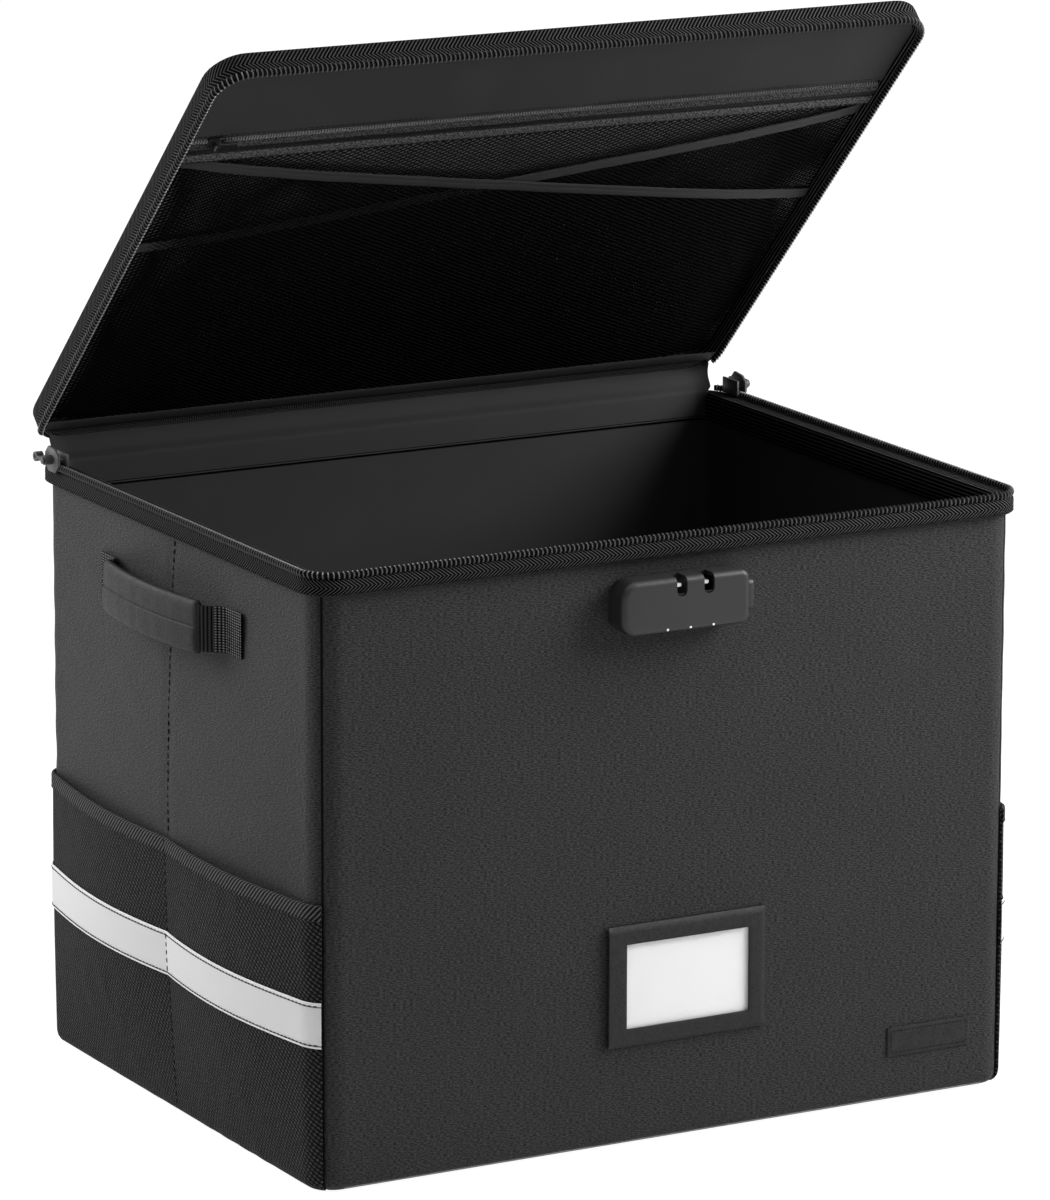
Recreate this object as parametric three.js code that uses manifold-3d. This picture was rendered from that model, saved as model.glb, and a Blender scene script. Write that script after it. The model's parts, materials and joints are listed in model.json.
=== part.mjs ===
import * as THREE from 'three';
import { mergeVertices } from 'three/addons/utils/BufferGeometryUtils.js';
import Module from 'manifold-3d';

// Fireproof record storage box: a soft-sided cloth box with stiff boards in its walls, a padded
// lid that stands open on a cloth hinge, a zip with two sliders, a three-dial lock, a card holder,
// grab handles and side pockets. Millimetres, +X to the right of the front, +Y to the back, +Z up.
// The origin is the middle of the underside.

// Overall sizes
const boxWidth = 410;
const boxDepth = 318;
const wallHeight = 318;
const cornerRadius = 15;
const lidOpenAngle = 45;

// Fits
const fit = 0.3;
const overrun = 2;
const seamGap = 0.5;

// Wall layers, from the outside in
const clothThickness = 1.2;
const boardThickness = 4;
const liningThickness = 0.8;
const foldGap = 1.5;

// Loose base board
const baseThickness = 3;
const baseClearance = 2;

// Tape over the rim of the box and the half of the zip on it
const rimProud = 4;
const rimSkin = 1.2;
const rimOuterDrop = 9.5;
const rimInnerDrop = 16;
const coilProud = 0.3;
const coilWidth = 3;
const coilHeight = 3.4;
const coilEndInset = 6;
const partingGap = 1.8;

// Lid layers, from the front of the pocket to the outside
const strapThickness = 1.1;
const strapWidth = 8;
const netThickness = 0.6;
const lidPocketDepth = 3.5;
const lidLiningThickness = 0.6;
const lidBoardThickness = 2.2;
const lidClothThickness = 0.9;
const lidFlangeThickness = 0.8;
const lidFlangeReach = 7;

// What is sewn across the inside of the lid. The zip and straps are placed from the free edge.
const lowerBindingWidth = 9.4;
const zipTapeWidth = 17;
const zipFromEdge = 76.6;
const pocketCoilWidth = 2.6;
const pocketCoilProud = 0.6;
const panelThickness = 0.8;
const strapFromEdge = 118.6;
const frontStrapFallShare = 0.202;
const rearStrapRiseShare = 0.17;
const netBarWidth = 5.5;
const mainNetColumns = 10;
const mainNetRows = 7;
const slantNetColumns = 8;
const slantNetRows = 5;
const staggerShare = 0.5;

// Cloth hinge
const hingeBandThickness = 0.8;
const hingeBandInset = 24;
const hingeBandOverlap = 11;

// Slider of the rim zip and its pull
const sliderLength = 16;
const sliderPlate = 1.4;
const sliderInnerPlate = 1.2;
const sliderGap = 0.4;
const sliderBelow = 5.2;
const sliderAbove = 8.3;
const sliderBevel = 4;
const sliderDip = 1;
const sliderFromBack = 23.5;
const pivotRadius = 1.1;
const pivotHeadRadius = 2;
const pivotHeadThickness = 0.8;
const pullGap = 0.35;
const pullRing = 1.2;
const pullThickness = 4.2;
const pullArm = 1.8;
const pullLength = 11;
const pullEyeRadius = 2.6;
const pullEyeHole = 1.1;

// Slider of the lid pocket's zip and its pull
const pocketSliderLength = 9;
const pocketSliderWidth = 7.4;
const pocketSliderPlate = 1.1;
const pocketSliderWall = 0.6;
const pocketSliderGap = 0.4;
const pocketSliderInset = 15;
const pocketPinRadius = 0.6;
const pocketPinDrop = 2;
const pocketLugWidth = 1.2;
const pocketLugLength = 2.6;
const pocketBarrelRadius = 1.6;
const pocketPullGap = 0.3;
const pocketPullLength = 11;
const pocketPullThickness = 1.2;

// Side pockets with their top binding and reflective strip
const pocketHeight = 150;
const pocketSag = 0.5;
const pocketBulge = 3.7;
const pocketMouthBulge = 4.8;
const pocketThickness = 1.2;
const pocketBindingWidth = 8;
const pocketBindingThickness = 1;
const stripFoot = 76;
const stripWidth = 24;
const stripThickness = 0.8;

// Grab handles
const handleBelowRim = 44;
const webbingWidth = 24;
const webbingThickness = 1.6;
const webbingHalfSpan = 81.5;
const webbingSewnLength = 19;
const gripHalfLength = 54;
const gripWidth = 28;
const gripThickness = 5.5;
const gripEndStandOff = 13;
const gripCrown = 5;
const gripSocketDepth = 5;

// Card holder and its card
const holderMiddle = 7.5;
const holderHeight = 85.7;
const holderWidth = 94;
const holderTall = 65;
const holderSheet = 1.2;
const holderBorder = 6;
const windowWidth = 72.3;
const windowTall = 44.7;
const filmThickness = 0.4;
const filmLap = 4;
const cardThickness = 0.6;
const cardLap = 3.2;

// Bare patch at the lower right of the front
const patchFromSide = 49.7;
const patchHeight = 32.8;
const patchWidth = 50.5;
const patchTall = 15.6;
const patchThickness = 1;

// Lock
const lockBelowRim = 31;
const lockTall = 28.4;
const lockDepth = 14;
const lockLeft = 39;
const lockRight = 36;
const lockLeftRadius = 9;
const lockRightRadius = 5;
const lockBevel = 1.5;
const lockWall = 2;
const lockEndWall = 4;
const lockPlateThickness = 1.2;
const dialRadius = 5;
const dialWidth = 7.5;
const dialPitch = 13.4;
const dialMiddle = 0.7;
const dialProud = 0.9;
const dialCount = 3;
const dialFacets = 20;
const dialWindowGap = 0.4;
const spindleRadius = 1.5;
const spindleGap = 0.3;
const spindleSeat = 2.4;
const slotWidth = 6;
const slotDepth = 10;
const slotPitch = 16;
const slotMiddle = 3.5;
const slotReach = 10.5;
const latchThickness = 2;
const latchBarTall = 2.8;
const latchArm = 4;
const latchTooth = 3.6;
const latchToothTall = 2.2;
const latchTravel = 4;
const springLength = 7.5;
const springRadius = 1.6;
const springBore = 0.8;
const buttonTall = 16;
const buttonDeep = 8.4;
const buttonRadius = 3;
const buttonProud = 3.2;
const buttonInside = 2;
const buttonGap = 0.4;
const stemTall = 2.8;

// Steps on round outlines
const arcSteps = 3;
const seamArcSteps = 2;
const roundSteps = 14;
const pocketHalfSteps = 8;
const pocketArcSteps = 3;
const pocketRows = 4;
const archSteps = 10;
const riseSteps = 5;

// Worked out from the sizes above
const halfWidth = boxWidth / 2;
const halfDepth = boxDepth / 2;
const boardOuter = clothThickness + fit;
const boardInner = boardOuter + boardThickness;
const liningOuter = boardInner + fit;
const liningInner = liningOuter + liningThickness;
const floorBoardTop = clothThickness + fit + boardThickness;
const liningFloorTop = floorBoardTop + fit + liningThickness;
const rimTapeTop = wallHeight + fit + rimSkin;
const rimCoilFoot = rimTapeTop + fit;
const rimCoilTop = rimCoilFoot + coilHeight;
const rimInnerFace = liningInner + fit + rimSkin;
const coilOuter = rimProud + coilProud;
const coilInner = coilOuter - coilWidth;
const hingeBack = halfDepth + rimProud + fit;
const hingeHeight = rimCoilTop + partingGap / 2;
const lidCoilFoot = partingGap / 2;
const lidBandFoot = lidCoilFoot + coilHeight + fit;
const frontStrapTop = lidBandFoot + strapThickness;
const rearStrapFoot = frontStrapTop + fit;
const rearStrapTop = rearStrapFoot + strapThickness;
const mainNetFoot = rearStrapTop + fit;
const mainNetTop = mainNetFoot + netThickness;
const lidLiningFoot = mainNetTop + lidPocketDepth;
const lidBoardFoot = lidLiningFoot + lidLiningThickness + fit;
const lidClothFoot = lidBoardFoot + lidBoardThickness + fit;
const lidFlangeFoot = lidClothFoot + lidClothThickness + fit;
const lidTop = lidFlangeFoot + lidFlangeThickness;
const hingeToBandBack = hingeBack - (halfDepth + fit);
const hingeToBandFront = hingeBack + halfDepth + fit;
const frontFace = -halfDepth;
const handleHeight = wallHeight - handleBelowRim;
const lockMiddleHeight = wallHeight - lockBelowRim;
const patchMiddle = halfWidth - patchFromSide;

// Materials
function cloth(color, roughness) {
  return new THREE.MeshStandardMaterial({ color, roughness, metalness: 0 });
}

const look = {
  shell: () => cloth(0x3b3b3b, 0.62),
  board: () => cloth(0x8d877c, 0.9),
  lining: () => cloth(0x1d1d1e, 0.8),
  tape: () => cloth(0x1f1f20, 0.75),
  coil: () => cloth(0x2a2a2b, 0.45),
  pocket: () => cloth(0x2b2b2c, 0.85),
  binding: () => cloth(0x202021, 0.8),
  strip: () => cloth(0xd2d2d2, 0.35),
  webbing: () => cloth(0x191919, 0.85),
  grip: () => cloth(0x2f2f30, 0.55),
  net: () => cloth(0x0c0c0c, 0.8),
  leather: () => cloth(0x2a2a2b, 0.5),
  film: () => cloth(0xe4e4e4, 0.1),
  card: () => cloth(0xe8e8e8, 0.7),
  plastic: () => cloth(0x454545, 0.45),
  metal: () => new THREE.MeshStandardMaterial({ color: 0x8a8a8c, roughness: 0.35, metalness: 1 }),
  steel: () => new THREE.MeshStandardMaterial({ color: 0xd8d8da, roughness: 0.25, metalness: 1 }),
};

// Booleans
const wasm = await Module();
wasm.setup();

function toSolid(geometry) {
  const bare = geometry.clone();
  bare.deleteAttribute('normal');
  bare.deleteAttribute('uv');
  const merged = mergeVertices(bare);
  const vertProperties = new Float32Array(merged.attributes.position.array);
  const triVerts = new Uint32Array(merged.index.array);
  return new wasm.Manifold(new wasm.Mesh({ numProp: 3, vertProperties, triVerts }));
}

function toGeometry(solid) {
  const mesh = solid.getMesh();
  const geometry = new THREE.BufferGeometry();
  geometry.setAttribute('position', new THREE.BufferAttribute(new Float32Array(mesh.vertProperties), 3));
  geometry.setIndex(new THREE.BufferAttribute(new Uint32Array(mesh.triVerts), 1));
  geometry.computeVertexNormals();
  return geometry;
}

function join(...pieces) {
  return toGeometry(pieces.map(toSolid).reduce((whole, piece) => whole.add(piece)));
}

function cut(body, ...tools) {
  return toGeometry(tools.map(toSolid).reduce((rest, tool) => rest.subtract(tool), toSolid(body)));
}

function common(body, tool) {
  return toGeometry(toSolid(body).intersect(toSolid(tool)));
}

// Prisms along each axis, from an outline in the other two
const toX = new THREE.Matrix4().makeBasis(
  new THREE.Vector3(0, 1, 0),
  new THREE.Vector3(0, 0, 1),
  new THREE.Vector3(1, 0, 0),
);
const toY = new THREE.Matrix4().makeBasis(
  new THREE.Vector3(1, 0, 0),
  new THREE.Vector3(0, 0, 1),
  new THREE.Vector3(0, -1, 0),
);

function prism(shape, a, b, steps = arcSteps) {
  const low = Math.min(a, b);
  const depth = Math.abs(b - a);
  const geometry = new THREE.ExtrudeGeometry(shape, { depth, bevelEnabled: false, curveSegments: steps });
  return geometry.translate(0, 0, low);
}

function alongX(shape, a, b, steps) {
  return prism(shape, a, b, steps).applyMatrix4(toX);
}

function alongY(shape, a, b, steps) {
  return prism(shape, -a, -b, steps).applyMatrix4(toY);
}

function alongZ(shape, a, b, steps) {
  return prism(shape, a, b, steps);
}

function block(x0, x1, y0, y1, z0, z1) {
  const size = [Math.abs(x1 - x0), Math.abs(y1 - y0), Math.abs(z1 - z0)];
  return new THREE.BoxGeometry(...size).translate((x0 + x1) / 2, (y0 + y1) / 2, (z0 + z1) / 2);
}

function polygon(points) {
  return new THREE.Shape(points.map(([a, b]) => new THREE.Vector2(a, b)));
}

// Rectangle with a radius at each corner, given as lower left, lower right, upper right, upper left
function roundedRectangle(x0, x1, y0, y1, radii) {
  const [r0, r1, r2, r3] = radii;
  const quarter = Math.PI / 2;
  const shape = new THREE.Shape();
  shape.absarc(x0 + r0, y0 + r0, r0, -2 * quarter, -quarter, false);
  shape.absarc(x1 - r1, y0 + r1, r1, -quarter, 0, false);
  shape.absarc(x1 - r2, y1 - r2, r2, 0, quarter, false);
  shape.absarc(x0 + r3, y1 - r3, r3, quarter, 2 * quarter, false);
  return shape;
}

function circle(x, y, radius) {
  const shape = new THREE.Shape();
  shape.absarc(x, y, radius, 0, 2 * Math.PI, false);
  return shape;
}

function tubeAlongX(y, z, radius, bore, a, b) {
  const shape = circle(y, z, radius);
  shape.holes.push(circle(y, z, bore));
  return alongX(shape, a, b, roundSteps / 2);
}

function rodAlongX(y, z, radius, a, b) {
  return alongX(circle(y, z, radius), a, b, roundSteps / 2);
}

// Outlines seen from above that follow the box's outer face at an inset, with concentric corners
function outline(inset) {
  const r = cornerRadius - inset;
  const w = halfWidth - inset;
  const d = halfDepth - inset;
  return roundedRectangle(-w, w, -d, d, [r, r, r, r]);
}

function plate(inset, z0, z1) {
  return alongZ(outline(inset), z0, z1);
}

function ring(outerInset, innerInset, z0, z1) {
  const shape = outline(outerInset);
  shape.holes.push(outline(innerInset));
  return alongZ(shape, z0, z1);
}

// Strip with a given thickness along a line of points
function ribbon(points, thickness) {
  const left = [];
  const right = [];
  points.forEach((point, i) => {
    const before = points[Math.max(i - 1, 0)];
    const after = points[Math.min(i + 1, points.length - 1)];
    const along = after.clone().sub(before).normalize();
    const across = new THREE.Vector2(-along.y, along.x).multiplyScalar(thickness / 2);
    left.push(point.clone().add(across));
    right.unshift(point.clone().sub(across));
  });
  return new THREE.Shape([...left, ...right]);
}

// Scene
const box = new THREE.Group();
const lid = new THREE.Group();
lid.position.set(0, hingeBack, hingeHeight);
lid.rotation.x = -THREE.MathUtils.degToRad(lidOpenAngle);
box.add(lid);

function add(name, geometry, material, group = box) {
  const mesh = new THREE.Mesh(geometry, material);
  mesh.name = name;
  group.add(mesh);
}

// The lid's pieces are drawn closed, with the hinge at the origin and the lid reaching to -Y
function addToLid(name, geometry, material) {
  add(name, geometry, material, lid);
}

function overLid(geometry) {
  return geometry.translate(0, -hingeBack, 0);
}

// Outer cloth: four walls that meet in a seam down the middle of each rounded corner
function wallCloth(halfSpan, halfReach) {
  const x = halfSpan - cornerRadius;
  const y = -(halfReach - cornerRadius);
  const inner = cornerRadius - clothThickness;
  const down = -Math.PI / 2;
  const turn = Math.PI / 4 - seamGap / cornerRadius / 2;
  const shape = new THREE.Shape();
  shape.absarc(-x, y, cornerRadius, down - turn, down, false);
  shape.absarc(x, y, cornerRadius, down, down + turn, false);
  shape.absarc(x, y, inner, down + turn, down, true);
  shape.absarc(-x, y, inner, down, down - turn, true);
  return alongZ(shape, 0, wallHeight, seamArcSteps);
}

function addOuterCloth() {
  add('front_cloth', wallCloth(halfWidth, halfDepth), look.shell());
  add('back_cloth', wallCloth(halfWidth, halfDepth).rotateZ(Math.PI), look.shell());
  add('left_cloth', wallCloth(halfDepth, halfWidth).rotateZ(-Math.PI / 2), look.shell());
  add('right_cloth', wallCloth(halfDepth, halfWidth).rotateZ(Math.PI / 2), look.shell());
  add('bottom_cloth', plate(clothThickness + fit, 0, clothThickness), look.shell());
}

// Fire-resistant boards between the outer cloth and the lining
function addBoards() {
  const foot = clothThickness + fit;
  const endX = halfWidth - cornerRadius;
  const endY = halfDepth - cornerRadius;
  const [y0, y1] = [halfDepth - boardOuter, halfDepth - boardInner];
  const [x0, x1] = [halfWidth - boardOuter, halfWidth - boardInner];
  add('front_board', block(-endX, endX, -y0, -y1, foot, wallHeight), look.board());
  add('back_board', block(-endX, endX, y1, y0, foot, wallHeight), look.board());
  for (const [name, side] of [['left', -1], ['right', 1]]) {
    const half = foldGap / 2;
    const front = block(side * x0, side * x1, -endY, -half, foot, wallHeight);
    const back = block(side * x0, side * x1, half, endY, foot, wallHeight);
    add(`${name}_board_front`, front, look.board());
    add(`${name}_board_back`, back, look.board());
  }
  add('bottom_board', plate(liningOuter, foot, floorBoardTop), look.board());
}

// Sewn lining: a tub that covers the boards
function addLining() {
  const walls = ring(liningOuter, liningInner, floorBoardTop + fit, wallHeight);
  const floor = plate(liningOuter, floorBoardTop + fit, liningFloorTop);
  add('lining', join(walls, floor), look.lining());
}

function addBaseBoard() {
  const foot = liningFloorTop + fit;
  add('base_board', plate(liningInner + baseClearance, foot, foot + baseThickness), look.lining());
}

// Tape folded over the rim, and the fixed half of the zip on its outer edge
function coilRing(z0, z1) {
  const span = halfWidth + coilOuter + overrun;
  const end = halfDepth - coilEndInset;
  const back = block(-span, span, end, halfDepth + coilOuter + overrun, z0 - overrun, z1 + overrun);
  return cut(ring(-coilOuter, -coilInner, z0, z1), back);
}

function addRim() {
  const outer = ring(-rimProud, -fit, rimTapeTop - rimOuterDrop, rimTapeTop);
  const top = ring(-rimProud, rimInnerFace, rimTapeTop - rimSkin, rimTapeTop);
  const inner = ring(liningInner + fit, rimInnerFace, rimTapeTop - rimInnerDrop, rimTapeTop);
  add('rim_tape', join(outer, top, inner), look.tape());
  add('rim_coil', coilRing(rimCoilFoot, rimCoilTop), look.coil());
}

// Side wall's line from its front seam to its back seam, seen from above, at a stand-off from the
// outer cloth. The share is -1 at the front seam, 0 at the middle seam and 1 at the back seam.
const arcShare = 0.07;

function sidePoint(share, standOff) {
  const flatEnd = halfDepth - cornerRadius;
  const sign = Math.sign(share);
  const flatShare = 1 - arcShare;
  if (Math.abs(share) <= flatShare) {
    return new THREE.Vector2(halfWidth + standOff, flatEnd * share / flatShare);
  }
  const seam = Math.PI / 4 - seamGap / cornerRadius / 2;
  const turn = sign * seam * (Math.abs(share) - flatShare) / arcShare;
  const radius = cornerRadius + standOff;
  const centre = halfWidth - cornerRadius;
  return new THREE.Vector2(centre + radius * Math.cos(turn), sign * flatEnd + radius * Math.sin(turn));
}

function sideShares() {
  const flatShare = 1 - arcShare;
  const shares = [];
  for (let i = -pocketArcSteps; i < 0; i += 1) shares.push(-flatShare + arcShare * i / pocketArcSteps);
  for (let i = -pocketHalfSteps; i <= pocketHalfSteps; i += 1) shares.push(flatShare * i / pocketHalfSteps);
  for (let i = 1; i <= pocketArcSteps; i += 1) shares.push(flatShare + arcShare * i / pocketArcSteps);
  return shares;
}

function bulge(share, z) {
  const rise = Math.min(z / pocketHeight, 1);
  const out = pocketBulge * Math.sin(Math.PI * rise) + pocketMouthBulge * rise;
  return out * Math.sin(Math.PI * Math.abs(share));
}

function pocketEdge(share) {
  return pocketHeight - pocketSag * Math.sin(Math.PI * Math.abs(share));
}

// Closed sheet on the side wall: its columns follow the wall and its rows run from foot to top
function sideSheet(side, foot, top, rows, standOff, thickness) {
  const shares = sideShares();
  const positions = [];
  for (const depth of [0, thickness]) {
    for (const share of shares) {
      for (let row = 0; row <= rows; row += 1) {
        const z = THREE.MathUtils.lerp(foot(share), top(share), row / rows);
        const point = sidePoint(share, standOff + bulge(share, z) + depth);
        positions.push(side * point.x, point.y, z);
      }
    }
  }
  const columns = shares.length;
  const layer = columns * (rows + 1);
  const at = (depth, column, row) => depth * layer + column * (rows + 1) + row;
  const index = [];
  const quad = (a, b, c, d) => index.push(a, b, c, a, c, d);
  for (let c = 0; c < columns - 1; c += 1) {
    for (let r = 0; r < rows; r += 1) {
      quad(at(1, c, r), at(1, c + 1, r), at(1, c + 1, r + 1), at(1, c, r + 1));
      quad(at(0, c, r), at(0, c, r + 1), at(0, c + 1, r + 1), at(0, c + 1, r));
    }
    quad(at(0, c, 0), at(0, c + 1, 0), at(1, c + 1, 0), at(1, c, 0));
    quad(at(0, c, rows), at(1, c, rows), at(1, c + 1, rows), at(0, c + 1, rows));
  }
  const last = columns - 1;
  for (let r = 0; r < rows; r += 1) {
    quad(at(0, 0, r), at(1, 0, r), at(1, 0, r + 1), at(0, 0, r + 1));
    quad(at(0, last, r), at(0, last, r + 1), at(1, last, r + 1), at(1, last, r));
  }
  if (side < 0) index.reverse();
  const geometry = new THREE.BufferGeometry();
  geometry.setAttribute('position', new THREE.Float32BufferAttribute(positions, 3));
  geometry.setIndex(index);
  geometry.computeVertexNormals();
  return geometry;
}

function addSidePocket(name, side) {
  const floor = () => 0;
  const skin = fit + pocketThickness + fit;
  const hemFoot = (share) => pocketEdge(share) - pocketBindingWidth;
  const stripTop = () => stripFoot + stripWidth;
  const pocket = sideSheet(side, floor, pocketEdge, pocketRows, fit, pocketThickness);
  const binding = sideSheet(side, hemFoot, pocketEdge, 1, skin, pocketBindingThickness);
  const strip = sideSheet(side, () => stripFoot, stripTop, 1, skin, stripThickness);
  add(`${name}_pocket`, pocket, look.pocket());
  add(`${name}_pocket_binding`, binding, look.binding());
  add(`${name}_reflective_strip`, strip, look.strip());
}

// Grab handle: webbing sewn to the side at both ends, rising into a padded grip that arches out
function gripStandOff(y) {
  return gripEndStandOff + gripCrown * (1 - (y / gripHalfLength) ** 2);
}

function gripLine(side, from, to, steps) {
  const points = [];
  for (let i = 0; i <= steps; i += 1) {
    const y = THREE.MathUtils.lerp(from, to, i / steps);
    points.push(new THREE.Vector2(side * (halfWidth + gripStandOff(y)), y));
  }
  return points;
}

function webbingLine(side, end) {
  const rest = fit + webbingThickness / 2;
  const sewnEnd = webbingHalfSpan - webbingSewnLength;
  const socket = gripHalfLength - gripSocketDepth;
  const points = [new THREE.Vector2(side * (halfWidth + rest), end * webbingHalfSpan)];
  for (let i = 0; i <= riseSteps; i += 1) {
    const y = THREE.MathUtils.lerp(sewnEnd, gripHalfLength, i / riseSteps);
    const rise = THREE.MathUtils.smoothstep(i, 0, riseSteps);
    const standOff = THREE.MathUtils.lerp(rest, gripStandOff(gripHalfLength), rise);
    points.push(new THREE.Vector2(side * (halfWidth + standOff), end * y));
  }
  points.push(new THREE.Vector2(side * (halfWidth + gripStandOff(socket)), end * socket));
  return points;
}

function addHandle(name, side) {
  const low = handleHeight - webbingWidth / 2;
  const high = handleHeight + webbingWidth / 2;
  let grip = alongZ(
    ribbon(gripLine(side, -gripHalfLength, gripHalfLength, archSteps), gripThickness),
    handleHeight - gripWidth / 2,
    handleHeight + gripWidth / 2,
  );
  for (const [place, end] of [['front', -1], ['back', 1]]) {
    const points = webbingLine(side, end);
    add(`${name}_webbing_${place}`, alongZ(ribbon(points, webbingThickness), low, high), look.webbing());
    const from = end * (gripHalfLength - gripSocketDepth - fit);
    const to = end * (gripHalfLength + fit);
    const socket = ribbon(gripLine(side, from, to, 1), webbingThickness + 2 * fit);
    grip = cut(grip, alongZ(socket, low - fit, high + fit));
  }
  add(`${name}_grip`, grip, look.grip());
}

// Card holder: a frame sewn to the front on three sides, open to the left, with a clear film
function addCardHolder() {
  const [x0, x1] = [holderMiddle - holderWidth / 2, holderMiddle + holderWidth / 2];
  const [z0, z1] = [holderHeight - holderTall / 2, holderHeight + holderTall / 2];
  const [w0, w1] = [holderMiddle - windowWidth / 2, holderMiddle + windowWidth / 2];
  const [v0, v1] = [holderHeight - windowTall / 2, holderHeight + windowTall / 2];
  const cardBack = frontFace - fit;
  const cardFront = cardBack - cardThickness;
  const filmBack = cardFront - fit;
  const filmFront = filmBack - filmThickness;
  const sheetBack = filmFront - fit;
  const sheetFront = sheetBack - holderSheet;
  const slotRight = x1 - holderBorder;
  const body = block(x0, x1, sheetFront, frontFace - fit, z0, z1);
  const window = block(w0, w1, sheetFront - overrun, frontFace, v0, v1);
  const slot = block(x0 - overrun, slotRight, sheetBack, frontFace, z0 + holderBorder, z1 - holderBorder);
  add('label_frame', cut(body, window, slot), look.leather());
  const film = block(w0 - filmLap, w1 + filmLap, filmFront, filmBack, v0 - filmLap, v1 + filmLap);
  add('label_window', film, look.film());
  const card = block(w0 - cardLap, w1 + cardLap, cardFront, cardBack, v0 - cardLap, v1 + cardLap);
  add('label_card', card, look.card());
}

function addPatch() {
  const [x0, x1] = [patchMiddle - patchWidth / 2, patchMiddle + patchWidth / 2];
  const [z0, z1] = [patchHeight - patchTall / 2, patchHeight + patchTall / 2];
  const back = frontFace - fit;
  add('front_patch', block(x0, x1, back - patchThickness, back, z0, z1), look.leather());
}

// Lock on the front: housing, back plate, three dials on a spindle, and a sprung latch whose
// teeth cross two slots that are open at the top and the front. Its button is at the right end.
const lockBack = frontFace - fit;
const lockFront = lockBack - lockDepth;
const lockFoot = lockMiddleHeight - lockTall / 2;
const lockHead = lockMiddleHeight + lockTall / 2;
const lockInside = lockFront + lockWall;
const cavityLeft = -lockLeft + lockEndWall;
const cavityRight = lockRight - lockEndWall - latchTravel - buttonInside - buttonGap;
const cavityFoot = lockFoot + lockWall;
const cavityHead = lockHead - lockWall;
const dialHeight = lockFoot + dialRadius - dialProud;
const dialDepth = lockInside + dialRadius + dialWindowGap;
const slotFoot = lockHead - slotDepth;
const latchFront = lockInside + slotReach - lockWall - latchThickness - lockBevel;
const latchBack = latchFront + latchThickness;
const latchBarTop = slotFoot - fit - fit;
const latchBarFoot = latchBarTop - latchBarTall;
const latchLeft = cavityLeft + springLength + fit + fit;

function dialPlaces() {
  const places = [];
  for (let i = 0; i < dialCount; i += 1) places.push(dialMiddle + dialPitch * (i - (dialCount - 1) / 2));
  return places;
}

function slotPlaces() {
  return [slotMiddle - slotPitch / 2, slotMiddle + slotPitch / 2];
}

function addLockHousing() {
  const radii = [lockLeftRadius, lockRightRadius, lockRightRadius, lockLeftRadius];
  const edge = radii.map((radius) => radius - lockBevel);
  const front = [-lockLeft + lockBevel, lockRight - lockBevel, lockFoot + lockBevel, lockHead - lockBevel];
  const outer = new THREE.ExtrudeGeometry(roundedRectangle(...front, edge), {
    depth: lockDepth,
    bevelThickness: lockBevel,
    bevelSize: lockBevel,
    bevelSegments: 2,
    curveSegments: arcSteps,
  }).translate(0, 0, -lockFront - lockDepth - lockBevel).applyMatrix4(toY);
  const beyond = lockBack + lockDepth;
  const behind = block(-halfWidth, halfWidth, lockBack, beyond, 0, wallHeight);
  const cavity = block(cavityLeft, cavityRight, lockInside, beyond, cavityFoot, cavityHead);
  const buttonRight = lockRight + overrun;
  const pocketGap = buttonGap + buttonGap;
  const recess = alongX(
    buttonOutline(buttonGap),
    lockRight - buttonInside - latchTravel - pocketGap,
    buttonRight,
  );
  const stem = block(
    cavityRight - overrun,
    buttonRight,
    latchFront - buttonGap,
    latchBack + buttonGap,
    latchBarFoot - buttonGap,
    latchBarFoot + stemTall + buttonGap,
  );
  const windows = dialPlaces().map((x) => block(
    x - dialWidth / 2 - dialWindowGap,
    x + dialWidth / 2 + dialWindowGap,
    dialDepth - dialRadius - dialWindowGap,
    dialDepth + dialRadius + dialWindowGap,
    lockFoot - overrun,
    cavityFoot + overrun,
  ));
  const slots = slotPlaces().map((x) => {
    const round = slotWidth / 2;
    const rect = [x - round, x + round, slotFoot, lockHead + overrun];
    const corner = roundedRectangle(...rect, [round - fit, round - fit, fit, fit]);
    return alongY(corner, lockFront - overrun, lockInside + slotReach - lockWall);
  });
  add('lock_housing', cut(outer, behind, cavity, recess, stem, ...windows, ...slots), look.plastic());
}

function buttonOutline(grow) {
  const deep = buttonDeep / 2 + grow;
  const tall = buttonTall / 2 + grow;
  const y = (lockBack + lockFront) / 2;
  const r = buttonRadius + grow;
  const [z0, z1] = [lockMiddleHeight - tall, lockMiddleHeight + tall];
  return roundedRectangle(y - deep, y + deep, z0, z1, [r, r, r, r]);
}

function addLockInside() {
  const plateFront = lockBack - lockPlateThickness;
  const places = dialPlaces();
  places.forEach((x, i) => {
    const shape = circle(dialDepth, dialHeight, dialRadius);
    shape.holes.push(circle(dialDepth, dialHeight, spindleRadius + spindleGap));
    const dial = alongX(shape, x - dialWidth / 2, x + dialWidth / 2, dialFacets / 2);
    add(`lock_dial_${i + 1}`, dial, look.plastic());
  });
  const reach = dialWidth / 2 + spindleSeat;
  const [left, right] = [places[0] - reach, places[dialCount - 1] + reach];
  const spindle = rodAlongX(dialDepth, dialHeight, spindleRadius, left, right);
  const lug = spindleSeat - fit;
  const [z0, z1] = [dialHeight - spindleRadius, dialHeight + spindleRadius];
  const edges = [cavityLeft + fit, cavityRight - fit, plateFront, lockBack];
  const backPlate = block(...edges, cavityFoot + fit, cavityHead - fit);
  const lugFront = dialDepth - spindleRadius;
  const lugs = [left, right - lug].map((x) => block(x, x + lug, lugFront, lockBack, z0, z1));
  add('lock_chassis', join(spindle, backPlate, ...lugs), look.steel());
}

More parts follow.
